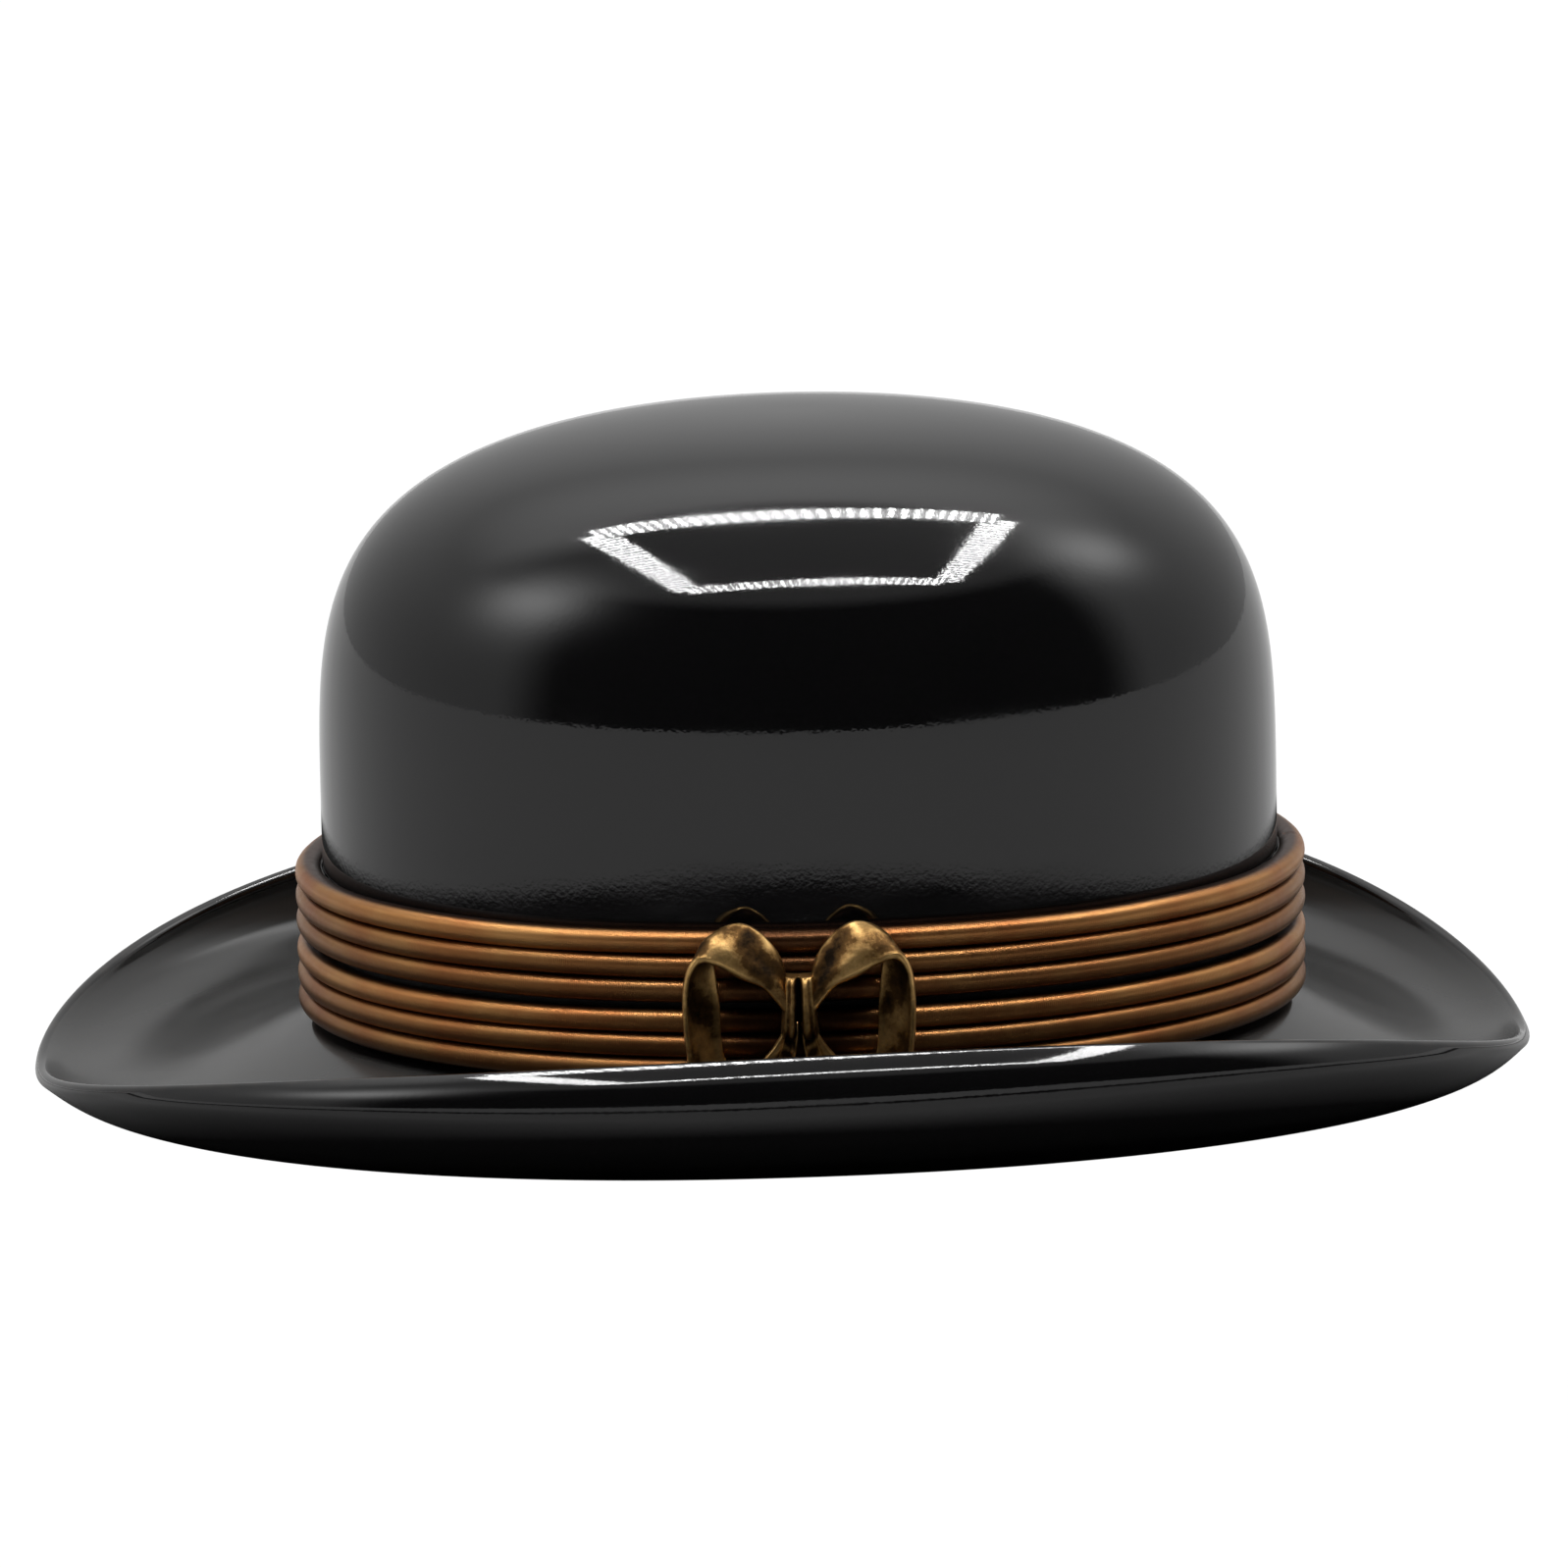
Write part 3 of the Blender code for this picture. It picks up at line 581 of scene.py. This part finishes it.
# One edge of a loop against the cords (along, height, out), then the way across it to
# the free edge, as in the CAD part, but with both ends run on into the knot.
LOOP_PATH = (
    (0.0012, 0.0222, 0.0030, 0.0008, -0.0022, 0.0030),
    (0.0026, 0.0262, 0.0018, 0.0016, -0.0036, 0.0042),
    (0.0042, 0.0318, 0.0012, 0.0030, -0.0060, 0.0054),
    (0.0078, 0.0364, 0.0010, 0.0038, -0.0086, 0.0062),
    (0.0121, 0.0384, 0.0010, 0.0038, -0.0080, 0.0066),
    (0.0160, 0.0364, 0.0010, 0.0036, -0.0050, 0.0068),
    (0.0175, 0.0316, 0.0010, 0.0042, -0.0028, 0.0070),
    (0.0171, 0.0260, 0.0010, 0.0055, -0.0022, 0.0070),
    (0.0165, 0.0202, 0.0010, 0.0062, -0.0018, 0.0070),
    (0.0164, 0.0145, 0.0010, 0.0058, -0.0018, 0.0070),
    (0.0156, 0.0092, 0.0010, 0.0054, -0.0018, 0.0068),
    (0.0122, 0.0068, 0.0010, 0.0038, -0.0020, 0.0062),
    (0.0086, 0.0078, 0.0010, 0.0024, -0.0018, 0.0050),
    (0.0050, 0.0112, 0.0008, 0.0010, -0.0008, 0.0034),
    (0.0018, 0.0160, 0.0010, 0.0004, -0.0006, 0.0030),
)
TAIL_PATH = (
    (0.0002, 0.0180, 0.0052, 0.0024, 0.0000, -0.0006),
    (0.0006, 0.0136, 0.0050, 0.0028, 0.0000, -0.0008),
    (0.0013, 0.0094, 0.0044, 0.0033, 0.0002, -0.0010),
    (0.0026, 0.0040, 0.0032, 0.0040, 0.0008, -0.0012),
)
RIBBON_THICKNESS = 0.0011
RIBBON_BEAD = 0.0005            # the ribbon is this much thicker along its edges
RIBBON_BELLY = 0.0012           # and this much hollowed between them
RIBBON_DENT = 0.00028
KNOT_MIDDLE = 0.0207
KNOT_HALF_HEIGHT = 0.0068


def ribbon(name, path, side, pleats, count):
    """A cast ribbon with beaded edges, hollowed between them, and pleated near the knot."""
    rows = smooth_path(path, count) * np.array([side, 1, 1, side, 1, 1])
    edge, across = rows[:, :3], rows[:, 3:]
    along = np.gradient(edge + across / 2, axis=0)
    normal = np.cross(along, across)
    normal = normal / np.linalg.norm(normal, axis=1)[:, None] * side
    share = np.linspace(0.0, 1.0, 25)
    from_knot = np.minimum(np.arange(count), np.arange(count)[::-1]) / count
    fade = np.exp(-from_knot * 9.0)[:, None]
    fold = pleats * fade * np.cos(2 * math.pi * 2.0 * share)[None, :]
    run = np.linspace(0.0, 1.0, count)[:, None]
    start = 0.2 if side > 0 else 0.0
    dent = np.sin(2 * math.pi * (4.3 * run + 0.7 * share[None, :] + start))
    hollow = np.sin(math.pi * share)[None, :] ** 0.8 * (1.0 - fade)
    belly = -RIBBON_BELLY * hollow + RIBBON_DENT * dent * hollow
    bead = RIBBON_BEAD * (2 * np.abs(share - 0.5)) ** 8
    half = RIBBON_THICKNESS / 2 * np.sqrt(1 - (2 * share - 1) ** 12) + bead * (share * (1 - share) > 0)
    flat = edge[:, None] + across[:, None] * share[None, :, None]
    upper = flat + normal[:, None] * (fold + belly + half)[..., None]
    lower = flat + normal[:, None] * (fold + belly - half)[..., None]
    ring = np.concatenate([upper, lower[:, ::-1][:, 1:-1]], axis=1)
    # rubbed bright edges and high places; the darker inner face and the darkening by the knot are
    # painted shade
    near_edge = (2 * np.abs(share - 0.5)) ** 3
    outer = 0.42 + 0.60 * near_edge + dent * 0.22 + fold / pleats * 0.2
    inner = 0.34 + 0.55 * near_edge - dent * 0.22
    height = np.concatenate([outer, inner[:, ::-1][:, 1:-1]], axis=1) - 0.25 * fade
    points = band_point(ring[..., 0], ring[..., 1], ring[..., 2])
    return skin(name, points, MATERIALS["brass"], ends=True, marks={"height": height})


def make_knot():
    """The ribbon that gathers the bow: two upright folds with a deep groove between them."""
    turns = np.linspace(0.0, math.pi, 40)
    columns = 33
    share = np.linspace(-1.0, 1.0, columns)
    rings, heights = [], []
    for turn in turns:
        height = KNOT_MIDDLE - KNOT_HALF_HEIGHT * math.cos(turn)
        down = 0.5 + 0.5 * math.cos(turn)
        swell = 0.0074 * (0.55 + 0.45 * math.sin(turn) ** 0.7)
        half = 0.0034 + 0.0009 * down - 0.0003 * math.sin(turn)
        bridge = math.exp(-((turn - math.pi) / 0.55) ** 2)
        groove = 0.0034 * np.exp(-((share + 0.05) / 0.17) ** 2) * (1.0 - 0.75 * bridge)
        crease = 0.0007 * np.exp(-((np.abs(share) - 0.62) / 0.10) ** 2) * (1.0 - bridge)
        depth = swell * (1 - np.abs(share) ** 5) ** 0.5 - groove - crease
        front = band_point(half * share, np.full(columns, height), np.maximum(depth, 0.0004))
        back = band_point(half * share[::-1][1:-1], np.full(columns - 2, height),
                          np.full(columns - 2, 0.0004))
        rings.append(np.concatenate([front, back]))
        # groove and crease are patina in the hollows; the lower part's darkening and the black back are
        # painted shade
        tone = 0.78 - groove * 330 - crease * 500 - 0.45 * down ** 2
        heights.append(np.concatenate([tone, np.zeros(columns - 2)]))
    return skin("bow_knot_cast", np.array(rings), MATERIALS["brass"], ends=True,
                marks={"height": heights})


def make_bow():
    for side, where in ((-1, "front"), (1, "rear")):
        loop = ribbon(f"bow_loop_{where}_cast", LOOP_PATH, side, 0.0006, 170)
        stand_for(loop, "antique_brass", f"bow_loop_{where}")
        tail = ribbon(f"bow_tail_{where}_cast", TAIL_PATH, side, 0.0002, 50)
        stand_for(tail, "antique_brass", f"bow_tail_{where}")
    stand_for(make_knot(), "antique_brass", "bow_knot")


# ---- Inside ----

STITCH_THICKNESS = 0.00022
FOOT_STITCH_LENGTH = 0.0023
SEAM_STITCH_LENGTH = 0.0046
LINING_THICKNESS = 0.0004


def sweatband_inset(height):
    lean = (SWEATBAND_HEAD_INSET - SWEATBAND_FOOT_INSET) * height / SWEATBAND_HEIGHT
    return CROWN_THICKNESS + SWEATBAND_FOOT_INSET + lean


def make_sweatband():
    foot = REED_RADIUS + GAP
    heights = np.linspace(foot, SWEATBAND_HEIGHT, 30)
    wave = 0.00025 * np.sin(9 * AROUND) + 0.00018 * np.sin(23 * AROUND + 1.0)
    rings, handled, pressed = [], [], []

    def add(height, deeper):
        share = (height - foot) / (SWEATBAND_HEIGHT - foot)
        inset = sweatband_inset(height) + deeper + wave * share ** 2 * 0.6
        rings.append(wall_ring(AROUND, -inset, height + wave * share ** 3))
        handled.append(np.full(FINE, max(share ** 8, (1 - share) ** 14)))
        pressed.append(np.full(FINE, float(abs(share - 0.90) < 0.020)))

    for height in heights:
        add(height, SWEATBAND_THICKNESS)
    add(SWEATBAND_HEIGHT + 0.0003, SWEATBAND_THICKNESS * 0.5)
    for height in heights[::-1]:
        add(height, 0.0)
    band = skin("sweatband_leather", np.array(rings), MATERIALS["leather"], close_rows=True,
                marks={"handled": handled, "pressed": pressed})
    stand_for(band, "tan_leather", "sweatband")
    middle = sweatband_inset(0.0) + SWEATBAND_THICKNESS / 2
    reed = around_tube("reed_round", -middle, -GAP, REED_RADIUS, REED_RADIUS, MATERIALS["cane"],
                       sides=12)
    stand_for(reed, "reed_cane", "sweatband_reed")
    lay(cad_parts["reed_tape"], MATERIALS["tape"])
    lay(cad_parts["size_ticket"], MATERIALS["paper"])
    lay(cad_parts["sweatband_seam_tab"], MATERIALS["leather"])


def stitches(name, points, ways, length, thickness, material, bulge):
    """A row of thread stitches: one small rounded bar along each way."""
    sides, steps = 6, 5
    faces, verts = [], []
    for point, way, out in zip(points, ways, bulge):
        way = Vector(way).normalized()
        out = Vector(out).normalized()
        third = way.cross(out)
        base = len(verts)
        for i in range(steps):
            share = i / (steps - 1) * 2 - 1
            fat = thickness * math.sqrt(max(1 - share ** 4, 0.10))
            lift = thickness * 0.5 * (1 - share ** 2)
            centre = Vector(point) + way * (share * length / 2) + out * lift
            for j in range(sides):
                turn = 2 * math.pi * j / sides
                verts.append(centre + (out * math.cos(turn) + third * math.sin(turn)) * fat)
        for i in range(steps - 1):
            for j in range(sides):
                a, b = base + i * sides + j, base + i * sides + (j + 1) % sides
                faces.append((a, b, b + sides, a + sides))
        faces.append(tuple(base + j for j in range(sides))[::-1])
        faces.append(tuple(base + (steps - 1) * sides + j for j in range(sides)))
    data = bpy.data.meshes.new(name)
    data.from_pydata([tuple(v) for v in verts], [], faces)
    mesh = bmesh.new()
    mesh.from_mesh(data)
    bmesh.ops.recalc_face_normals(mesh, faces=mesh.faces)
    mesh.to_mesh(data)
    mesh.free()
    data.shade_smooth()
    data.materials.append(material)
    thing = bpy.data.objects.new(name, data)
    bpy.context.scene.collection.objects.link(thing)
    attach(thing, "root")
    return thing


def make_stitches():
    """The stitching that holds the sweatband: a row round its foot, a zigzag up its seam."""
    count = 190
    theta = np.linspace(0.0, 2 * math.pi, count, endpoint=False)
    height = 0.0046
    offset = -(sweatband_inset(height) + SWEATBAND_THICKNESS)
    points = wall_ring(theta, offset, height)
    ways = wall_ring(theta + 0.01, offset, height) - wall_ring(theta - 0.01, offset, height)
    outs = wall_ring(theta, offset - 0.01, height) - points
    stitches("sweatband_foot_stitches", points, ways, FOOT_STITCH_LENGTH, STITCH_THICKNESS,
             MATERIALS["thread"], outs)
    rows = np.arange(0.0190, 0.0405, 0.0016)
    lean = 0.006
    points = np.array([wall_ring(np.array([0.0]), -(sweatband_inset(h) + SWEATBAND_THICKNESS), h)[0]
                       for h in rows])
    ways = np.array([(0.0, lean if i % 2 else -lean, 0.0022) for i in range(len(rows))])
    outs = np.tile((-1.0, 0.0, 0.0), (len(rows), 1))
    stitches("sweatband_seam_stitches", points, ways, SEAM_STITCH_LENGTH, STITCH_THICKNESS,
             MATERIALS["thread"], outs)


def make_tie():
    """The small ribbon bow on the sweatband's seam, at the back of the head."""
    low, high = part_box("sweatband_tie")
    middle = [(a + b) / 2 for a, b in zip(low, high)]
    half_width, half_height = (high[1] - low[1]) / 2, (high[2] - low[2]) / 2
    share = np.linspace(-1.0, 1.0, 41)
    up = np.linspace(-1.0, 1.0, 13)
    wing = np.abs(share)[:, None]
    flare = 0.64 * np.clip((wing - 0.12) / 0.7, 0, 1) ** 0.7
    pinch = 0.36 + flare - 0.10 * np.clip(wing - 0.85, 0, 1) * 6
    ripple = np.cos(up * 2.5 * math.pi)[None, :] * np.exp(-wing * 2.2) * 0.00035
    puff = (0.00055 + 0.0005 * np.sin(wing * math.pi)) * np.sqrt(1 - up[None, :] ** 6 * 0.98)
    y = np.broadcast_to(middle[1] + share[:, None] * half_width, puff.shape)
    z = middle[2] + up[None, :] * half_height * pinch
    x_front = middle[0] - puff - ripple
    x_back = middle[0] + puff * 0.5
    front = np.stack([x_front, y, z], axis=-1)
    back = np.stack([x_back, y, z], axis=-1)
    ring = np.concatenate([front, back[:, ::-1][:, 1:-1]], axis=1)
    ribs = np.broadcast_to((share * half_width / 0.0006 * 2 * math.pi)[:, None], ring.shape[:2])
    tie = skin("sweatband_tie_ribbon", ring, MATERIALS["ribbon"], ends=True, marks={"ribs": ribs})
    stand_for(tie, "black_ribbon", "sweatband_tie")


def lining_ring(theta, rise, inset):
    return dome_ring(theta, rise, CROWN_THICKNESS + inset)


def make_lining():
    theta = AROUND
    seam = dome_rise(SEAM_WIDTH)
    steps = np.linspace(0.0, 1.0, 40)
    rises = seam * (1 - (1 - steps) ** 1.5)
    pleats = 0.5 + 0.5 * np.cos(40 * theta + 0.6 * np.sin(7 * theta))
    small = 0.5 + 0.5 * np.cos(97 * theta + 1.3 * np.sin(5 * theta))
    rings = [wall_ring(theta, -(CROWN_THICKNESS + LINING_INSET), height)
             for height in np.linspace(LINING_FOOT, WALL_HEIGHT - 0.003, 8)]
    for rise, step in zip(rises, steps):
        deep = 0.0011 * pleats * step ** 3 + 0.0004 * small * step ** 2
        rings.append(lining_ring(theta, rise, LINING_INSET + deep))
    inner = []
    for ring in rings[::-1]:
        toward = np.array([CROWN_SETBACK, 0.0, BREAK_HEIGHT + WALL_HEIGHT * 0.5]) - ring
        toward = toward / np.linalg.norm(toward, axis=1)[:, None]
        inner.append(ring + toward * LINING_THICKNESS)
    wall = skin("lining_side", np.array(rings + inner), MATERIALS["satin"], close_rows=True)
    stand_for(wall, "cream_satin", "lining_wall")

    widths = np.linspace(0.02, SEAM_WIDTH - 0.015, 26)
    ease = 0.00025 * (1 + np.sin(3 * theta))
    upper = [lining_ring(theta, dome_rise(w), LINING_INSET + ease * w) for w in widths]
    lower = [lining_ring(theta, dome_rise(w), LINING_INSET + LINING_THICKNESS + ease * w)
             for w in widths[::-1]]
    tip = skin("lining_tip_panel", np.array(upper + lower), MATERIALS["satin"], ends=True)
    stand_for(tip, "cream_satin", "lining_tip")

    seam_ring = lining_ring(theta, dome_rise(SEAM_WIDTH - 0.008), 0.0026)
    out = np.stack([np.cos(theta), np.sin(theta), np.zeros_like(theta)], axis=-1)
    up = np.array([0.0, 0.0, 1.0])
    rings = [seam_ring + 0.0010 * (math.cos(t) * out + math.sin(t) * up)
             for t in np.linspace(0.0, 2 * math.pi, 14, endpoint=False)]
    piping = skin("lining_piping_round", np.array(rings), MATERIALS["satin"], close_rows=True)
    stand_for(piping, "cream_satin", "lining_piping")
    lay(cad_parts["lining_tip_patch"], MATERIALS["film"])


# ---- Stage ----

CAMERA_ELEVATION = math.radians(12.16)
CAMERA_YAW = math.radians(2.14)
CAMERA_ROLL = math.radians(1.165)
CAMERA_DISTANCE = 2.176
CAMERA_TARGET_HEIGHT = 0.050    # above the break line
CAMERA_SHIFT = (-0.00924, -0.00593)
LENS = 229.6


def make_camera():
    """The camera stands off the hat's left side, a little above the brim."""
    data = bpy.data.cameras.new("camera")
    data.lens = LENS
    data.shift_x, data.shift_y = CAMERA_SHIFT
    data.clip_end = 50.0
    camera = bpy.data.objects.new("camera", data)
    bpy.context.scene.collection.objects.link(camera)
    bpy.context.scene.camera = camera
    away = Vector((math.sin(CAMERA_YAW) * math.cos(CAMERA_ELEVATION),
                   math.cos(CAMERA_YAW) * math.cos(CAMERA_ELEVATION), -math.sin(CAMERA_ELEVATION)))
    right = Vector((math.cos(CAMERA_YAW), -math.sin(CAMERA_YAW), 0.0))
    up = right.cross(away)
    c, s = math.cos(CAMERA_ROLL), math.sin(CAMERA_ROLL)
    turned_right, turned_up = right * c - up * s, right * s + up * c
    target = Vector((CROWN_SETBACK, 0.0, BREAK_HEIGHT + CAMERA_TARGET_HEIGHT))
    turn = Matrix((turned_right, turned_up, -away)).transposed()
    camera.matrix_world = Matrix.Translation(target - away * CAMERA_DISTANCE) @ turn.to_4x4()


FRAME_HEIGHT = 0.85
FRAME_MIDDLE = (0.042, -0.150)
FRAME_HALF_WIDTH = 0.360
FRAME_HALF_DEPTH = 0.310
FRAME_TURN = math.radians(4.0)
FRONT_STRIP_WIDTH = 0.070
BACK_STRIP_WIDTH = 0.086
SIDE_STRIP_WIDTH = 0.085
LAMP_SPACING = 0.022
LAMP_RADIANCE = 13.0
LAMP_DIM, LAMP_BRIGHT = 0.30, 5.0  # between the lamps and at them, as shares of the radiance


def lamp_strip(name, along, across, length, width, turn):
    """One side of the overhead frame: a row of small lamps, as bright spots in the strip."""
    data = bpy.data.lights.new(name, "AREA")
    data.shape = "RECTANGLE"
    data.size, data.size_y = length, width
    data.energy = LAMP_RADIANCE * math.pi * length * width
    data.use_nodes = True
    add, join = data.node_tree.nodes.new, data.node_tree.links.new
    parts = add("ShaderNodeSeparateXYZ")
    join(add("ShaderNodeNewGeometry").outputs["Parametric"], parts.inputs[0])
    phase = add("ShaderNodeMath")
    phase.operation = "MULTIPLY"
    join(parts.outputs["X"], phase.inputs[0])
    phase.inputs[1].default_value = round(length / LAMP_SPACING) * 2 * math.pi
    wave = add("ShaderNodeMath")
    wave.operation = "SINE"
    join(phase.outputs[0], wave.inputs[0])
    spots = add("ShaderNodeMapRange")
    join(wave.outputs[0], spots.inputs["Value"])
    limits = (("From Min", 0.3), ("From Max", 1.0), ("To Min", LAMP_DIM), ("To Max", LAMP_BRIGHT))
    for socket, value in limits:
        spots.inputs[socket].default_value = value
    join(spots.outputs[0], data.node_tree.nodes["Emission"].inputs["Strength"])
    light = bpy.data.objects.new(name, data)
    c, s = math.cos(FRAME_TURN), math.sin(FRAME_TURN)
    light.location = (FRAME_MIDDLE[0] + along * c - across * s, FRAME_MIDDLE[1] + along * s + across * c,
                      FRAME_HEIGHT)
    light.rotation_euler.z = FRAME_TURN + turn
    light.visible_camera = False
    light.visible_diffuse = False
    bpy.context.scene.collection.objects.link(light)


def make_lights():
    """A soft sky for matt surfaces, and an overhead frame of small lamps for glossy ones."""
    sun = bpy.data.lights.new("sky_soft", "SUN")
    sun.energy, sun.angle = 0.75, math.radians(70)
    sky = bpy.data.objects.new("sky_soft", sun)
    sky.visible_glossy = False
    bpy.context.scene.collection.objects.link(sky)
    lamp_strip("frame_front", 0.0, -FRAME_HALF_DEPTH, 2 * FRAME_HALF_WIDTH, FRONT_STRIP_WIDTH, 0.0)
    lamp_strip("frame_back", 0.0, FRAME_HALF_DEPTH, 2 * FRAME_HALF_WIDTH, BACK_STRIP_WIDTH, 0.0)
    for name, side in (("frame_left", -1), ("frame_right", 1)):
        lamp_strip(name, side * FRAME_HALF_WIDTH, 0.0, 2 * FRAME_HALF_DEPTH, SIDE_STRIP_WIDTH,
                   math.pi / 2)


OPENING = (0.13, -0.99)         # the way from the hat to the tent's opening, at the camera
# The way to each soft glow, its peak, and how tight it is
LEFT_GLOW = ((-0.735, -0.225, 0.640), 3.3, 42.0)
RIGHT_GLOW = ((0.696, 0.123, 0.707), 3.3, 55.0)


def make_world():
    """A pale tent round the hat: open and dark towards the camera, with a soft glow each side."""
    world = bpy.data.worlds.new("tent")
    bpy.context.scene.world = world
    world.use_nodes = True
    tree = world.node_tree
    tree.nodes.clear()
    add, join = tree.nodes.new, tree.links.new
    way = add("ShaderNodeTexCoord").outputs["Generated"]
    parts = add("ShaderNodeSeparateXYZ")
    join(way, parts.inputs[0])
    up = parts.outputs["Z"]

    def ramp(value, low, high, start, end):
        made = add("ShaderNodeMapRange")
        join(value, made.inputs["Value"])
        limits = (("From Min", low), ("From Max", high), ("To Min", start), ("To Max", end))
        for socket, number in limits:
            made.inputs[socket].default_value = number
        made.interpolation_type = "SMOOTHSTEP"
        return made.outputs[0]

    def maths(operation, a, b=0.0):
        made = add("ShaderNodeMath")
        made.operation = operation
        for socket, value in zip(made.inputs, (a, b)):
            if isinstance(value, bpy.types.NodeSocket):
                join(value, socket)
            else:
                socket.default_value = value
        return made.outputs[0]

    def towards(direction):
        made = add("ShaderNodeVectorMath")
        made.operation = "DOT_PRODUCT"
        join(way, made.inputs[0])
        made.inputs[1].default_value = direction
        return made.outputs["Value"]

    def glow(direction, peak, tightness):
        near = maths("MULTIPLY", maths("SUBTRACT", towards(direction), 1.0), tightness)
        return maths("MULTIPLY", maths("EXPONENT", near), peak)

    flat = maths("SQRT", maths("MAXIMUM", maths("SUBTRACT", 1.0, maths("MULTIPLY", up, up)), 0.0001))
    facing = maths("DIVIDE", towards((*OPENING, 0.0)), flat)
    opening = maths("MULTIPLY", ramp(facing, 0.22, 0.52, 0.0, 1.0), ramp(up, 0.70, 0.80, 1.0, 0.0))
    walls = maths("ADD", ramp(up, 0.05, 0.65, 0.60, 0.80), ramp(up, 0.60, 0.87, 0.0, 0.85))
    behind = ramp(parts.outputs["Y"], 0.0, 0.30, 0.0, 1.0)
    roof = maths("ADD", 0.45, maths("MULTIPLY", maths("SUBTRACT", walls, 0.45),
                                    maths("MULTIPLY", behind, ramp(up, 0.88, 0.945, 1.0, 0.0))))
    tent = maths("ADD", maths("MULTIPLY", walls, ramp(up, 0.60, 0.72, 1.0, 0.0)),
                 maths("MULTIPLY", roof, ramp(up, 0.60, 0.72, 0.0, 1.0)))
    seen = maths("ADD", maths("MULTIPLY", tent, maths("SUBTRACT", 1.0, opening)), 0.03)
    seen = maths("ADD", seen, glow(*LEFT_GLOW))
    seen = maths("ADD", seen, glow(*RIGHT_GLOW))
    path = add("ShaderNodeLightPath")
    strength = maths("MAXIMUM", seen, path.outputs["Is Camera Ray"])
    background = add("ShaderNodeBackground")
    join(strength, background.inputs["Strength"])
    output = add("ShaderNodeOutputWorld")
    join(background.outputs[0], output.inputs["Surface"])


def make_floor():
    bpy.ops.mesh.primitive_plane_add(size=24.0)
    floor = bpy.context.active_object
    floor.name = "floor"
    floor.location.z = -0.0002
    floor.data.materials.append(pale_floor())


MATERIALS = {
    "lacquer": black_lacquer(),
    "cord": bronze_cord(),
    "brass": antique_brass(),
    "tape": ribbed_tape("black_tape_ribbed", (0.030, 0.028, 0.027)),
    "ribbon": ribbed_tape("black_ribbon_ribbed", (0.022, 0.022, 0.026)),
    "leather": tan_leather(),
    "satin": cream_satin(),
    "cane": split_cane(),
    "paper": ticket_paper(),
    "film": clear_film(),
    "thread": linen_thread(),
}

make_camera()
make_world()
make_lights()
make_floor()
make_shell()
make_band()
make_bow()
make_sweatband()
make_stitches()
make_tie()
make_lining()
bpy.context.scene.view_settings.view_transform = "Standard"
